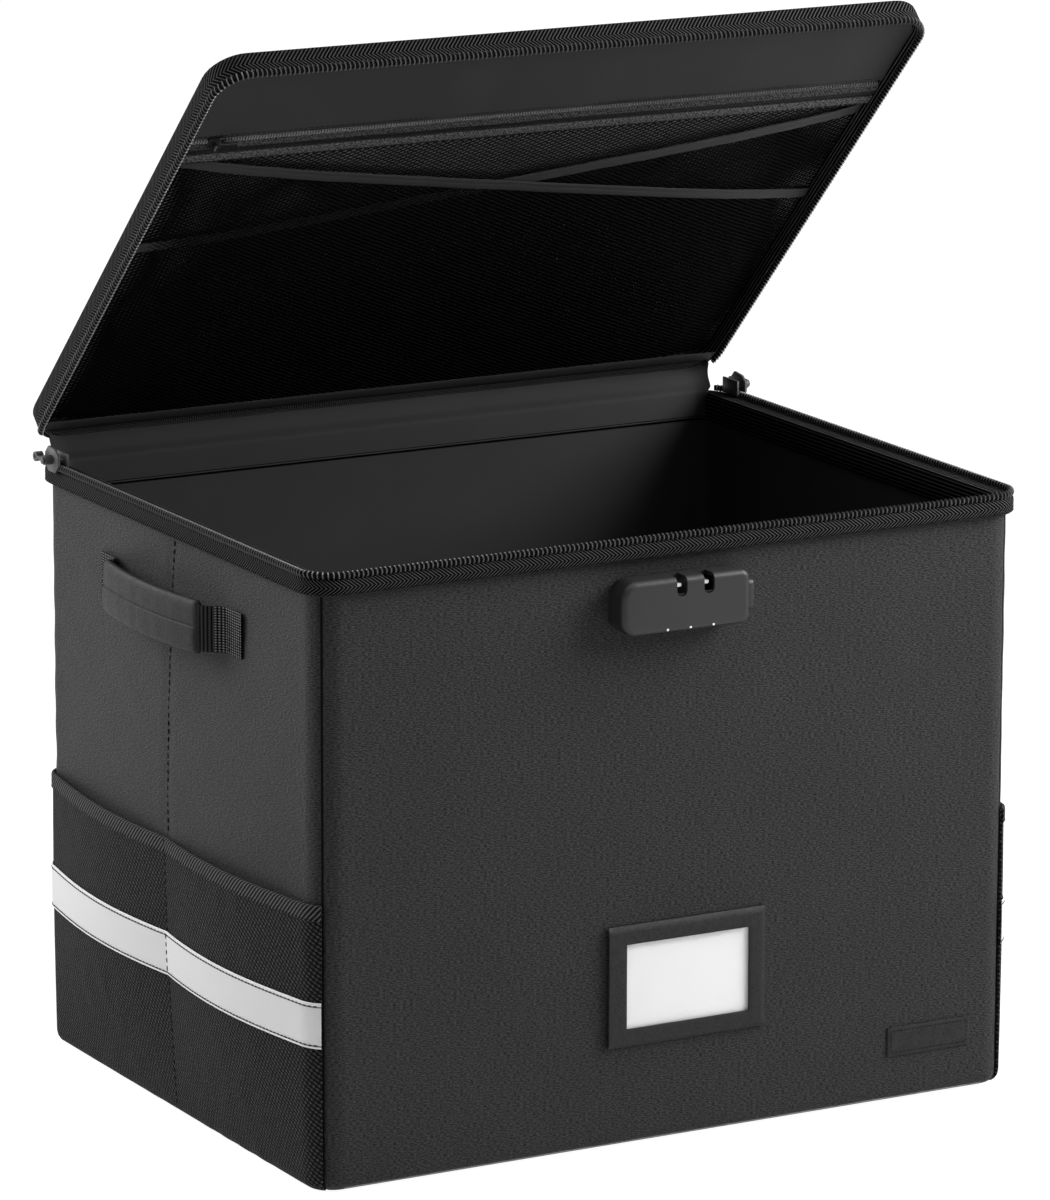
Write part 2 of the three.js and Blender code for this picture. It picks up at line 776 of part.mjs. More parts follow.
function addLatch() {
  const deep = [latchFront, latchBack];
  const buttonLeft = lockRight - buttonInside;
  const bar = block(latchLeft, buttonLeft + fit, ...deep, latchBarFoot, latchBarTop);
  const button = alongX(buttonOutline(0), buttonLeft, lockRight + buttonProud);
  const toothFoot = slotFoot + fit + fit;
  const toothHead = toothFoot + latchToothTall;
  const teeth = slotPlaces().map((x) => {
    const left = x - slotWidth / 2;
    const armRight = left - latchTravel + latchTooth - fit;
    const arm = block(armRight - latchArm, armRight, ...deep, latchBarFoot, toothHead);
    const tooth = block(armRight - overrun, left + latchTooth, ...deep, toothFoot, toothHead);
    return join(arm, tooth);
  });
  add('lock_latch', join(bar, button, ...teeth), look.steel());
  const middle = (latchFront + latchBack) / 2;
  const springHeight = (latchBarFoot + latchBarTop) / 2;
  const springLeft = cavityLeft + fit;
  const spring = tubeAlongX(
    middle,
    springHeight,
    springRadius,
    springBore,
    springLeft,
    springLeft + springLength,
  );
  add('lock_spring', spring, look.steel());
}

// Slider of the rim zip: two plates beside the coil and a bridge between the two coils
function sliderOutline() {
  const middle = halfDepth - sliderFromBack;
  const half = sliderLength / 2;
  const foot = rimCoilTop - sliderBelow;
  const head = rimCoilTop + sliderAbove;
  return polygon([
    [middle - half, foot + sliderBevel],
    [middle - half + sliderBevel, foot],
    [middle + half - sliderBevel, foot],
    [middle + half, foot + sliderBevel],
    [middle + half, head - sliderBevel],
    [middle + half - sliderBevel, head],
    [middle - half + sliderBevel, head - sliderDip],
    [middle - half, head - sliderBevel],
  ]);
}

function addSlider(name, side) {
  const middle = halfDepth - sliderFromBack;
  const half = sliderLength / 2;
  const outerIn = halfWidth + coilOuter + sliderGap;
  const outerOut = outerIn + sliderPlate;
  const innerOut = halfWidth + coilInner - sliderGap;
  const innerIn = innerOut - sliderInnerPlate;
  const bridgeFoot = rimCoilTop + fit;
  const bridgeHead = rimCoilTop + partingGap - fit;
  const innerHead = hingeHeight + lidBandFoot - sliderGap;
  const pivotOut = outerOut + fit + pullThickness + fit;
  const pivotHeight = (rimCoilTop - sliderBelow + rimCoilTop + sliderAbove) / 2;
  const [y0, y1] = [middle - half, middle + half];
  const bridgeEnds = [y0 + sliderBevel, y1 - sliderBevel];
  const outerPlate = alongX(sliderOutline(), side * outerIn, side * outerOut);
  const innerPlate = block(side * innerIn, side * innerOut, y0, y1, rimCoilFoot, innerHead);
  const bridge = block(side * innerIn, side * outerOut, ...bridgeEnds, bridgeFoot, bridgeHead);
  const pivot = rodAlongX(middle, pivotHeight, pivotRadius, side * outerIn, side * pivotOut);
  const headEnd = side * (pivotOut + pivotHeadThickness);
  const head = rodAlongX(middle, pivotHeight, pivotHeadRadius, side * pivotOut, headEnd);
  add(`${name}_slider`, join(outerPlate, innerPlate, bridge, pivot, head), look.metal());

  const bore = pivotRadius + pullGap;
  const [x0, x1] = [side * (outerOut + fit), side * (outerOut + fit + pullThickness)];
  const ringPart = rodAlongX(middle, pivotHeight, bore + pullRing, x0, x1);
  const armTall = [pivotHeight - pullArm / 2, pivotHeight + pullArm / 2];
  const arm = block(x0, x1, middle, middle + pullLength, ...armTall);
  const eye = rodAlongX(middle + pullLength, pivotHeight, pullEyeRadius, x0, x1);
  const [far, near] = [x0 - side * overrun, x1 + side * overrun];
  const holes = [
    rodAlongX(middle, pivotHeight, bore, far, near),
    rodAlongX(middle + pullLength, pivotHeight, pullEyeHole, far, near),
  ];
  add(`${name}_pull`, cut(join(ringPart, arm, eye), ...holes), look.metal());
}

// Lid shell: outer cloth, board and lining inside a band of tape that carries the zip's other half
function addLidShell() {
  addToLid('lid_cloth', overLid(plate(0, lidClothFoot, lidClothFoot + lidClothThickness)), look.shell());
  addToLid('lid_board', overLid(plate(0, lidBoardFoot, lidBoardFoot + lidBoardThickness)), look.board());
  const lidLiningTop = lidLiningFoot + lidLiningThickness;
  addToLid('lid_lining', overLid(plate(0, lidLiningFoot, lidLiningTop)), look.lining());
  const skirt = ring(-rimProud, -fit, lidBandFoot, lidTop);
  const flange = ring(-rimProud, lidFlangeReach, lidFlangeFoot, lidTop);
  addToLid('lid_band', overLid(join(skirt, flange)), look.tape());
  addToLid('lid_coil', overLid(coilRing(lidCoilFoot, lidCoilFoot + coilHeight)), look.coil());
}

// Inside of the lid. A reach is the distance from the hinge towards the free edge.
const bindingFoot = hingeToBandBack + fit;
const netFoot = bindingFoot + lowerBindingWidth + fit;
const strapMiddle = hingeToBandFront - strapFromEdge;
const zipTapeFoot = hingeToBandFront - zipFromEdge;
const zipTapeHead = zipTapeFoot + zipTapeWidth;
const pocketCoilFoot = zipTapeHead + fit;
const pocketCoilHead = pocketCoilFoot + pocketCoilWidth;
const panelFoot = pocketCoilHead + pocketSliderWall + fit + fit;

function frontStrapReach(x) {
  return strapMiddle - frontStrapFallShare * x;
}

function rearStrapReach(x) {
  return strapMiddle + rearStrapRiseShare * x;
}

// Keeps what lies within the lid's rounded outline
function trimToLid(geometry) {
  return common(geometry, overLid(plate(0, 0, lidTop)));
}

function strap(reach, foot) {
  const half = strapWidth / 2;
  const span = halfWidth;
  const corners = [
    [-span, -(reach(-span) - half)],
    [span, -(reach(span) - half)],
    [span, -(reach(span) + half)],
    [-span, -(reach(-span) + half)],
  ];
  return alongZ(polygon(corners), foot, foot + strapThickness);
}

// Flat net with staggered diamond holes, between its foot and a straight or slanting head
function net(head, columns, rows, foot) {
  const span = halfWidth;
  const edge = [[-span, -netFoot], [span, -netFoot], [span, -head(span)], [-span, -head(-span)]];
  const shape = polygon(edge);
  const pitch = 2 * (span - netBarWidth) / (columns + staggerShare);
  for (let row = 0; row < rows; row += 1) {
    const shift = row % 2 === 0 ? 0 : staggerShare;
    for (let column = 0; column < columns; column += 1) {
      const x = -span + netBarWidth + pitch * (column + staggerShare + shift);
      const tall = (head(x) - netFoot - 2 * netBarWidth) / (rows + 1);
      const y = netFoot + netBarWidth + tall * (row + 1);
      const halfX = (pitch - netBarWidth) / 2;
      const halfY = tall - netBarWidth / 2;
      const points = [[x - halfX, -y], [x, -y - halfY], [x + halfX, -y], [x, -y + halfY]];
      shape.holes.push(polygon(points));
    }
  }
  return trimToLid(alongZ(shape, foot, foot + netThickness));
}

function addLidPockets() {
  const span = halfWidth;
  const half = strapWidth / 2;
  const bindingHead = bindingFoot + lowerBindingWidth;
  const binding = block(-span, span, -bindingFoot, -bindingHead, lidBandFoot, mainNetTop);
  addToLid('net_binding', trimToLid(binding), look.binding());
  const mainHead = () => zipTapeFoot - fit;
  addToLid('lid_net', net(mainHead, mainNetColumns, mainNetRows, mainNetFoot), look.net());
  const centre = (strapThickness - netThickness) / 2;
  const rearHead = (x) => rearStrapReach(x) - half - fit;
  const frontHead = (x) => frontStrapReach(x) - half - fit;
  const rear = net(rearHead, slantNetColumns, slantNetRows, rearStrapFoot + centre);
  const front = net(frontHead, slantNetColumns, slantNetRows, lidBandFoot + centre);
  addToLid('slant_net_rear', rear, look.net());
  addToLid('slant_net_front', front, look.net());
  addToLid('strap_rear', strap(rearStrapReach, rearStrapFoot), look.binding());
  addToLid('strap_front', strap(frontStrapReach, lidBandFoot), look.binding());
}

function addPocketZip() {
  const span = halfWidth;
  const tape = block(-span, span, -zipTapeFoot, -zipTapeHead, mainNetFoot, mainNetTop);
  addToLid('pocket_zip_tape', tape, look.tape());
  const [z0, z1] = [mainNetFoot - pocketCoilProud, mainNetTop + pocketCoilProud];
  addToLid('pocket_zip_coil', block(-span, span, -pocketCoilFoot, -pocketCoilHead, z0, z1), look.coil());
  const panelTop = mainNetFoot + panelThickness;
  const panel = block(-span, span, -panelFoot, -hingeToBandFront, mainNetFoot, panelTop);
  addToLid('pocket_top_panel', trimToLid(panel), look.lining());
}

function addPocketSlider() {
  const x = -halfWidth + pocketSliderInset;
  const half = pocketSliderLength / 2;
  const middle = (pocketCoilFoot + pocketCoilHead) / 2;
  const [u0, u1] = [middle - pocketSliderWidth / 2, middle + pocketSliderWidth / 2];
  const frontTop = mainNetFoot - pocketCoilProud - pocketSliderGap;
  const frontFoot = frontTop - pocketSliderPlate;
  const backFoot = mainNetTop + pocketCoilProud + pocketSliderGap;
  const backTop = backFoot + pocketSliderPlate;
  const wallFoot = pocketCoilHead + fit;
  const front = block(x - half, x + half, -u0, -u1, frontFoot, frontTop);
  const back = block(x - half, x + half, -u0, -u1, backFoot, backTop);
  const wall = block(x - half, x + half, -wallFoot, -wallFoot - pocketSliderWall, frontFoot, backTop);
  const pinZ = frontFoot - pocketPinDrop;
  const lug = [x - pocketLugLength / 2, x + pocketLugLength / 2];
  const lugZ = [pinZ - pocketLugLength / 2, frontTop];
  const lugLow = block(...lug, -u0, -u0 - pocketLugWidth, ...lugZ);
  const lugHigh = block(...lug, -u1, -u1 + pocketLugWidth, ...lugZ);
  const pin = alongY(circle(x, pinZ, pocketPinRadius), -u0 - fit, -u1 + fit, roundSteps / 2);
  addToLid('pocket_slider', join(front, back, wall, lugLow, lugHigh, pin), look.metal());

  const [y0, y1] = [-u0 - pocketLugWidth - pocketPullGap, -u1 + pocketLugWidth + pocketPullGap];
  const barrel = alongY(circle(x, pinZ, pocketBarrelRadius), y0, y1, roundSteps / 2);
  const tabZ = [pinZ - pocketPullThickness / 2, pinZ + pocketPullThickness / 2];
  const tab = block(x, x + pocketPullLength, y0, y1, ...tabZ);
  const bore = alongY(
    circle(x, pinZ, pocketPinRadius + pocketPullGap),
    y0 + overrun,
    y1 - overrun,
    roundSteps / 2,
  );
  addToLid('pocket_pull', cut(join(barrel, tab), bore), look.metal());
}

// Cloth hinge: sewn on the back of the rim, folded at the hinge line, sewn inside the lid's band
function addHingeBand() {
  const angle = lid.rotation.x;
  const lower = rimTapeTop + fit + hingeBandThickness / 2;
  const inside = hingeToBandBack + fit + hingeBandThickness / 2;
  const fromLid = (y, z) => {
    const point = new THREE.Vector2(y, z).rotateAround(new THREE.Vector2(0, 0), angle);
    return new THREE.Vector2(hingeBack + point.x, hingeHeight + point.y);
  };
  const points = [
    new THREE.Vector2(hingeBack - hingeBandOverlap, lower),
    new THREE.Vector2(hingeBack - hingeBandThickness, lower),
    fromLid(-hingeBandThickness, lidBandFoot / 2),
    fromLid(-inside, lidBandFoot / 2),
    fromLid(-inside, lidBandFoot),
  ];
  const span = halfWidth - hingeBandInset;
  add('hinge_band', alongX(ribbon(points, hingeBandThickness), -span, span), look.lining());
}

addOuterCloth();
addBoards();
addLining();
addBaseBoard();
addRim();
addCardHolder();
addPatch();
addLockHousing();
addLockInside();
addLatch();
for (const [name, side] of [['left', -1], ['right', 1]]) {
  addSidePocket(name, side);
  addHandle(name, side);
  addSlider(name, side);
}
addLidShell();
addLidPockets();
addPocketZip();
addPocketSlider();
addHingeBand();

export default box;
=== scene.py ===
import json
import math

import bpy
import numpy as np
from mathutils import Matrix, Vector


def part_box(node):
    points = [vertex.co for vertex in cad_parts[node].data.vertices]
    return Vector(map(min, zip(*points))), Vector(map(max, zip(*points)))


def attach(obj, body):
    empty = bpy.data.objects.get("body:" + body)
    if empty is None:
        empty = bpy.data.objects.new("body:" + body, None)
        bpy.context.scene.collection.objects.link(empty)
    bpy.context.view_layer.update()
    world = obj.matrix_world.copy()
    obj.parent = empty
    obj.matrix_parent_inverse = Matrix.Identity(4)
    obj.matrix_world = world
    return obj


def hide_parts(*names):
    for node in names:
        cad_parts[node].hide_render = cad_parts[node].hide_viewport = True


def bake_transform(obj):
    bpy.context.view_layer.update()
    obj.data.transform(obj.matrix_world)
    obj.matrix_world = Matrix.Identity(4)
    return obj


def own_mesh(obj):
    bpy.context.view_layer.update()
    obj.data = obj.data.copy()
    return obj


bl_info = {
    "name": "Fireproof Record Box",
    "version": (1, 0, 0),
    "blender": (4, 5, 0),
    "location": "3D View > Sidebar > Record Box",
    "description": "Makes the cloth, zips, nets, handles and lock of a soft record box on its frame",
    "category": "Object",
}

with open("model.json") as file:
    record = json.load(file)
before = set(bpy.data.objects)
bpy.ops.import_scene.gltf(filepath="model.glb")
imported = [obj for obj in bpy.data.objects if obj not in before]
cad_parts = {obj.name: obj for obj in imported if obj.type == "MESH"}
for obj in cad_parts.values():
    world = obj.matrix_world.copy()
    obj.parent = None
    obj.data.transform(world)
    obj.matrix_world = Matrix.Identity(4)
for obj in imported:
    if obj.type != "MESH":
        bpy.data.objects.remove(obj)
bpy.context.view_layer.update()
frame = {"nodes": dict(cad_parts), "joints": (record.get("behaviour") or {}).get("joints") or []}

MM = 0.001
HALF_X = -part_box("left_cloth")[0].x
HALF_Y = -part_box("front_cloth")[0].y
WALL_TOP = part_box("front_cloth")[1].z
CORNER = 15 * MM
HINGE = next(j for j in frame["joints"] if j["name"] == "lid_hinge")
HINGE_Y, HINGE_Z = HINGE["pos_m"][1:]
LID_OPEN = -math.radians(HINGE["range_deg"][0])
WALLS = ("front", "right", "back", "left")
FRONT, RIGHT, BACK, LEFT = range(4)
SIDES = (("left", LEFT, -1), ("right", RIGHT, 1))
WALL_SPANS = ((HALF_X, HALF_Y), (HALF_Y, HALF_X)) * 2
ARC_SHARE = 0.07
DIALS = (1, 2, 3)


def length(label, note, millimetres):
    value = millimetres * MM
    return bpy.props.FloatProperty(name=label, description=note, default=value, unit="LENGTH", min=0.0)


def colour(label, note, value):
    return bpy.props.FloatVectorProperty(
        name=label, description=note, default=value, subtype="COLOR", size=3, min=0.0, max=1.0
    )


def grey(value):
    """Linear colour of an sRGB grey from 0 to 255."""
    share = value / 255
    linear = share / 12.92 if share <= 0.04045 else ((share + 0.055) / 1.055) ** 2.4
    return (linear, linear, linear)


class RecordBoxSizes(bpy.types.PropertyGroup):
    """Sizes of the sewn pieces"""

    side_bow: length("Side bow", "How far the middle of each side stands out", 6)
    back_bow: length("Back bow", "How far the middle of the back stands out", 2)
    foot_round: length("Foot rounding", "Radius of the bottom edges", 6)
    cloth: length("Cloth", "Thickness of the coated cloth", 1.2)
    pocket_top: length("Pocket height", "Height of the side pockets", 150)
    pocket_sag: length("Pocket sag", "How far the pockets' top edge hangs down", 0.5)
    pocket_bulge: length("Pocket bulge", "How far each half of a side pocket stands out", 4)
    pocket_mouth: length("Pocket mouth", "How far the pockets' top edge stands out", 4)
    strip_foot: length("Strip height", "Height of the reflective strip's lower edge", 76)
    strip_width: length("Strip width", "Width of the reflective strip", 24)
    tooth_pitch: length("Tooth pitch", "Distance between teeth of the rim zip", 2.6)
    small_pitch: length("Small tooth pitch", "Distance between teeth of the lid pocket's zip", 1.6)
    net_across: length("Net cell width", "Width of a cell of the net", 5.0)
    net_up: length("Net cell height", "Height of a cell of the net", 2.9)
    net_thread: length("Net thread", "Radius of the net's threads", 0.32)


class RecordBoxColours(bpy.types.PropertyGroup):
    """Colours of the finishes"""

    shell: colour("Coated cloth", "Colour of the outer cloth", grey(8))
    shell_fleck: colour("Cloth fleck", "Colour of the raised grain", grey(60))
    lining: colour("Lining", "Colour of the lining", grey(54))
    tape: colour("Tape", "Colour of the zip tape's ribs", grey(70))
    tape_gap: colour("Tape gaps", "Colour between the tape's ribs", grey(2))
    strip: colour("Strip", "Colour of the reflective strip", grey(214))


def sizes():
    return bpy.context.scene.record_box_sizes


def colours():
    return bpy.context.scene.record_box_colours


# Shader arithmetic
def plug(tree, slot, item):
    """Links a socket, or sets it to a number or a colour."""
    if isinstance(item, Value):
        tree.links.new(item.socket, slot)
    else:
        slot.default_value = (*item, 1.0) if slot.type == "RGBA" else item


def arithmetic(operation, reflected=False):
    """A method of Value that sends it, and what it is given, through one node."""

    def method(self, *others):
        return self.math(operation, *((*others, self) if reflected else (self, *others)))

    return method


class Value:
    """A number socket that takes Python's arithmetic"""

    def __init__(self, tree, socket):
        self.tree = tree
        self.socket = socket

    def math(self, operation, *items):
        node = self.tree.nodes.new("ShaderNodeMath")
        node.operation = operation
        for slot, item in zip(node.inputs, items):
            plug(self.tree, slot, item)
        return Value(self.tree, node.outputs[0])

    __add__ = __radd__ = arithmetic("ADD")
    __sub__ = arithmetic("SUBTRACT")
    __rsub__ = arithmetic("SUBTRACT", reflected=True)
    __mul__ = __rmul__ = arithmetic("MULTIPLY")
    __abs__ = arithmetic("ABSOLUTE")
    most = arithmetic("MAXIMUM")
    least = arithmetic("MINIMUM")
    over = arithmetic("GREATER_THAN")

    def wave(self, period):
        """From -1 to 1 and back in each period."""
        return self.math("SINE", self * (math.tau / period))

    def ribs(self, period):
        """From 0 to 1 and back in each period."""
        return self.wave(period) * 0.5 + 0.5

    def ease(self, low, high):
        """0 below low, 1 above high, smooth between."""
        node = self.tree.nodes.new("ShaderNodeMapRange")
        node.interpolation_type = "SMOOTHSTEP"
        for name, item in (("Value", self), ("From Min", low), ("From Max", high)):
            plug(self.tree, node.inputs[name], item)
        return Value(self.tree, node.outputs["Result"])


class Finish:
    """A material and the nodes that it is made of"""

    def __init__(self, name, roughness=0.6, **fixed):
        self.material = bpy.data.materials.new(name)
        self.material.use_nodes = True
        self.tree = self.material.node_tree
        self.shader = self.tree.nodes["Principled BSDF"]
        self.feed(Roughness=roughness, **fixed)

    def feed(self, **sockets):
        for key, item in sockets.items():
            plug(self.tree, self.shader.inputs[key.replace("_", " ")], item)
        return self

    def node(self, kind, settings=(), **sockets):
        node = self.tree.nodes.new("ShaderNode" + kind)
        for key, value in dict(settings).items():
            setattr(node, key, value)
        for key, item in sockets.items():
            plug(self.tree, node.inputs[key.replace("_", " ")], item)
        return node

    def out(self, node, name):
        return Value(self.tree, node.outputs[name])

    def place(self, kind="Object"):
        return self.out(self.node("TexCoord"), kind)

    def split(self, place):
        node = self.node("SeparateXYZ", Vector=place)
        return [self.out(node, axis) for axis in "XYZ"]

    def uv(self):
        """Metres across and along the cloth"""
        return self.split(self.place("UV"))[:2]

    def vector(self, x, y, z=0.0):
        return self.out(self.node("CombineXYZ", X=x, Y=y, Z=z), "Vector")

    def noise(self, place, scale, detail=3.0, roughness=0.55):
        node = self.node("TexNoise", Vector=place, Scale=scale, Detail=detail, Roughness=roughness)
        return self.out(node, "Fac")

    def specks(self, x, y, detail=3.0, roughness=0.55):
        return self.noise(self.vector(x, y), 1.0, detail, roughness)

    def cells(self, place, scale):
        return self.out(self.node("TexVoronoi", Vector=place, Scale=scale), "Distance")

    def mix(self, share, a, b):
        node = self.node("Mix", {"data_type": "RGBA"})
        for index, item in ((0, share), (6, a), (7, b)):
            plug(self.tree, node.inputs[index], item)
        return Value(self.tree, node.outputs[2])

    def bump(self, height, depth, strength):
        node = self.node("Bump", Height=height, Distance=depth, Strength=strength)
        self.tree.links.new(node.outputs["Normal"], self.shader.inputs["Normal"])
        return self


FINISHES = {}


def finish(name):
    if name not in FINISHES:
        made = paint_speckled(*SPECKLED[name]) if name in SPECKLED else PAINTS[name]()
        FINISHES[name] = made.material
    return FINISHES[name]


def paint_shell():
    """Coated glass cloth with a fine pebbled grain in faint rows"""
    f = Finish("shell_cloth", Specular_IOR_Level=0.2)
    u, v = f.uv()
    slub = f.specks(u * 520.0, v * 2000.0, 2.0, 0.6)
    pebble = f.specks(u * 1150.0, v * 1900.0, 3.0, 0.6)
    broad = f.noise(f.vector(u, v), 14.0, 2.0)
    grain = slub * 0.7 + pebble * 0.3
    fleck = grain.ease(0.37, 0.65)
    tone = f.mix(fleck * (0.75 + broad * 0.3), colours().shell, colours().shell_fleck)
    f.feed(Base_Color=tone, Roughness=0.68 - fleck * 0.14)
    return f.bump(grain, 0.0007, 0.9)


def paint_pocket():
    """Ribbed pocket cloth: slanting ribs that break into small cells"""
    f = Finish("pocket_cloth", Specular_IOR_Level=0.12)
    u, v = f.uv()
    cell = ((u * 0.62 + v).wave(0.0025) * 0.62 + (u - v * 0.55).wave(0.0029) * 0.38) * 0.5 + 0.5
    fuzz = f.specks(u * 900.0, v * 900.0)
    tone = cell.ease(0.4, 0.95) * (0.2 + fuzz.ease(0.3, 0.7) * 1.4)
    f.feed(Base_Color=f.mix(tone, grey(5), grey(68)), Roughness=0.66 + fuzz * 0.2)
    return f.bump(cell + fuzz * 0.3, 0.0007, 0.9)


def paint_lining(name="lining_cloth", tones=None):
    """Smooth black lining with a very fine plain weave"""
    f = Finish(name, Specular_IOR_Level=0.14)
    u, v = f.uv()
    weave = u.wave(0.0007) * v.wave(0.0007)
    broad = f.noise(f.vector(u, v), 22.0, 2.0)
    low, high = tones or (grey(46), colours().lining)
    f.feed(Base_Color=f.mix(broad, low, high), Roughness=0.72 + broad * 0.15)
    return f.bump(weave * 0.4 + broad, 0.0002, 0.4)


def paint_tape(name, low, middle, high, lean, inner=1.0):
    """Herringbone tape: two rows of slanting ribs that meet in a line of points, painted paler beyond inner
    as painted light on the lid band's shaded inner face
    """
    f = Finish(name, Specular_IOR_Level=0.03)
    u, v = f.uv()
    rib = (u + abs(v - middle) * lean).ribs(0.00225)
    fine = (u + v * 3.0).ribs(0.00055)
    inside = (v - low).over(0.0) * (high - v).over(0.0)
    pattern = inside * rib + (1.0 - inside) * v.ribs(0.0021)
    tone = pattern.ease(0.58, 0.9) * (0.85 + fine * 0.3)
    # Painted light: past inner the rib colour is raised from the tape's grey to grey(120), lifting the
    # shade on the lid band's inner face
    ribs = f.mix(v.over(inner), colours().tape, grey(120))
    f.feed(Base_Color=f.mix(tone, colours().tape_gap, ribs), Roughness=0.74 - pattern * 0.14)
    return f.bump(pattern + fine * 0.12, 0.0005, 0.8)


def paint_zip_tape():
    """Twill tape of the lid pocket's zip: two raised rows and a line between"""
    f = Finish("pocket_zip_tape_cloth", 0.75, Specular_IOR_Level=0.12)
    u, v = f.uv()
    twill = (u + v * 0.8).ribs(0.0017)
    rows = v.ease(0.0008, 0.002) * (1.0 - v.ease(0.0074, 0.0084)) + v.ease(0.0122, 0.0132) * 0.6
    speck = f.specks(u * 600.0, v * 800.0, 2.0).ease(0.36, 0.64)
    f.feed(Base_Color=f.mix((twill * 0.3 + speck * 0.8) * (0.12 + rows), grey(8), grey(92)))
    return f.bump(twill * 0.4 + rows, 0.0006, 0.6)


def paint_speckled(name, specks, tones, roughness, relief, fixed):
    """Specks of noise between two greys, in the object's own frame"""
    f = Finish(name, **fixed)
    speck = f.noise(f.place(), *specks)
    dark, light = tones
    base, gain = roughness
    f.feed(Base_Color=f.mix(speck, grey(dark), grey(light)))
    f.feed(Roughness=base + speck * gain if gain else base)
    return f.bump(speck, *relief) if relief else f


# Plain finishes: the material's name, the specks' scale, detail and roughness, the dark and light grey,
# the surface's roughness and what the specks add, the relief's depth and strength, and fixed values
SPECKLED = {
    # Painted highlights: the rim zip's black nylon teeth are painted mid grey, standing in for the light on
    # them
    "coil": (
        "zip_coil_nylon_painted_highlights", (1400, 2), (64, 100), (0.3, 0.2), (0.0001, 0.3), {"Specular_IOR_Level": 0.5}
    ),
    # Painted highlights: the lid pocket zip's black teeth are painted paler still, for their bright
    # highlights
    "small_coil": (
        "small_coil_nylon_painted_highlights", (1400, 2), (100, 150), (0.28, 0.2), (0.0001, 0.3), {"Specular_IOR_Level": 0.4}
    ),
    "cord": ("coil_core", (1800,), (3, 16), (0.9, 0), (), {"Specular_IOR_Level": 0.1}),
    "net": ("net_thread", (2500,), (4, 18), (0.9, 0), (0.0001, 0.3), {"Specular_IOR_Level": 0.06}),
    "dial": ("dial_plastic", (1800, 2), (24, 44), (0.32, 0.16), (0.00008, 0.3), {}),
    "slider": ("slider_metal", (400,), (58, 90), (0.4, 0.2), (0.00006, 0.3), {"Metallic": 0.35}),
    "dark_metal": ("painted_slider", (700,), (22, 46), (0.28, 0.2), (0.00006, 0.3), {"Metallic": 0.3}),
    "card": ("white_card", (1300, 4), (226, 238), (0.62, 0), (0.00004, 0.3), {}),
    "film": ("clear_film", (60, 2), (244, 252), (0.08, 0), (0.0002, 0.2), {"IOR": 1.45, "Alpha": 0.07}),
    "board": ("fibre_board", (500, 5, 0.7), (112, 150), (0.85, 0), (0.0003, 0.5), {}),
    "dot": ("index_dot", (2500,), (236, 250), (0.35, 0), (), {}),
}


def paint_binding():
    """Smooth double-fold binding"""
    f = Finish("binding_cloth", Specular_IOR_Level=0.18)
    u, v = f.uv()
    speck = f.specks(u * 1200.0, v * 2400.0)
    edge = 1.0 - abs(v - 0.0052).ease(0.0001, 0.00035)
    tone = (0.45 + speck * 0.5) * (1.0 - edge * 0.6)
    f.feed(Base_Color=f.mix(tone, grey(20), grey(60)), Roughness=0.6 + speck * 0.15)
    return f.bump(u.ribs(0.0006) * 0.3 + speck * 0.4 - edge, 0.0003, 0.5)


def paint_hem():
    """Twill binding of the side pockets"""
    f = Finish("pocket_hem", 0.74, Specular_IOR_Level=0.12)
    u, v = f.uv()
    twill = (u - v * 0.92).ribs(0.0028)
    speck = f.specks(u * 1300.0, v * 1300.0)
    f.feed(Base_Color=f.mix(twill.ease(0.44, 0.92) * (0.4 + speck * 1.1), grey(6), grey(88)))
    return f.bump(twill + speck * 0.2, 0.0005, 0.8)


def paint_woven(name="woven_tape", ribs=(9.0, 10.0), across=0.0028):
    """Box-woven webbing, with cross ribs over a stretch of its length"""
    f = Finish(name, 0.78, Specular_IOR_Level=0.1)
    u, v = f.uv()
    knot = abs(u.wave(across) * v.wave(0.0028)).ease(0.3, 0.9)
    rib = (u - ribs[0]).ribs(0.0021)
    ribbed = u.over(ribs[0]) * (ribs[1] - u).over(0.0)
    speck = f.specks(u * 1500.0, v * 1500.0)
    high = knot * (1.0 - ribbed) + ribbed * rib.ease(0.3, 0.8) * (0.16 + knot * 0.14)
    # Partly painted light: the knots' light grey, grey(126), is raised above the weave's own tone to lift
    # the shade on the woven tape at the lid's foot
    f.feed(Base_Color=f.mix(high * (0.55 + speck * 0.8), grey(4), grey(126)))
    return f.bump(high + speck * 0.2, 0.0006, 0.9)


def paint_strip():
    """Reflective tape: pale cloth with brighter rims, and inside each rim a dark line that is the stitch
    row's dark thread and painted shade in its furrow
    """
    f = Finish("reflective_tape", Specular_IOR_Level=0.5, Coat_Weight=0.12, Coat_Roughness=0.3)
    u, v = f.uv()
    edge = v.least(sizes().strip_width - v)
    rim = 1.0 - edge.ease(0.0012, 0.0016)
    # Partly painted shade: a dark line along the furrow where the stitches sit, beneath the dark thread of
    # the stitches
    line = (1.0 - abs(edge - 0.0018).ease(0.0002, 0.0005)) * 0.7
    beads = f.cells(f.vector(u * 2600.0, v * 2600.0), 1.0)
    broad = f.noise(f.vector(u, v * 3.0), 18.0, 2.0)
    body = f.mix(beads * 0.35 + broad * 0.25, colours().strip, grey(198))
    tone = f.mix(rim, body, grey(222))
    f.feed(Base_Color=f.mix(line, tone, grey(34)), Roughness=0.34 + beads * 0.2)
    return f.bump(rim * 0.6 - line + beads * 0.1, 0.0003, 0.6)


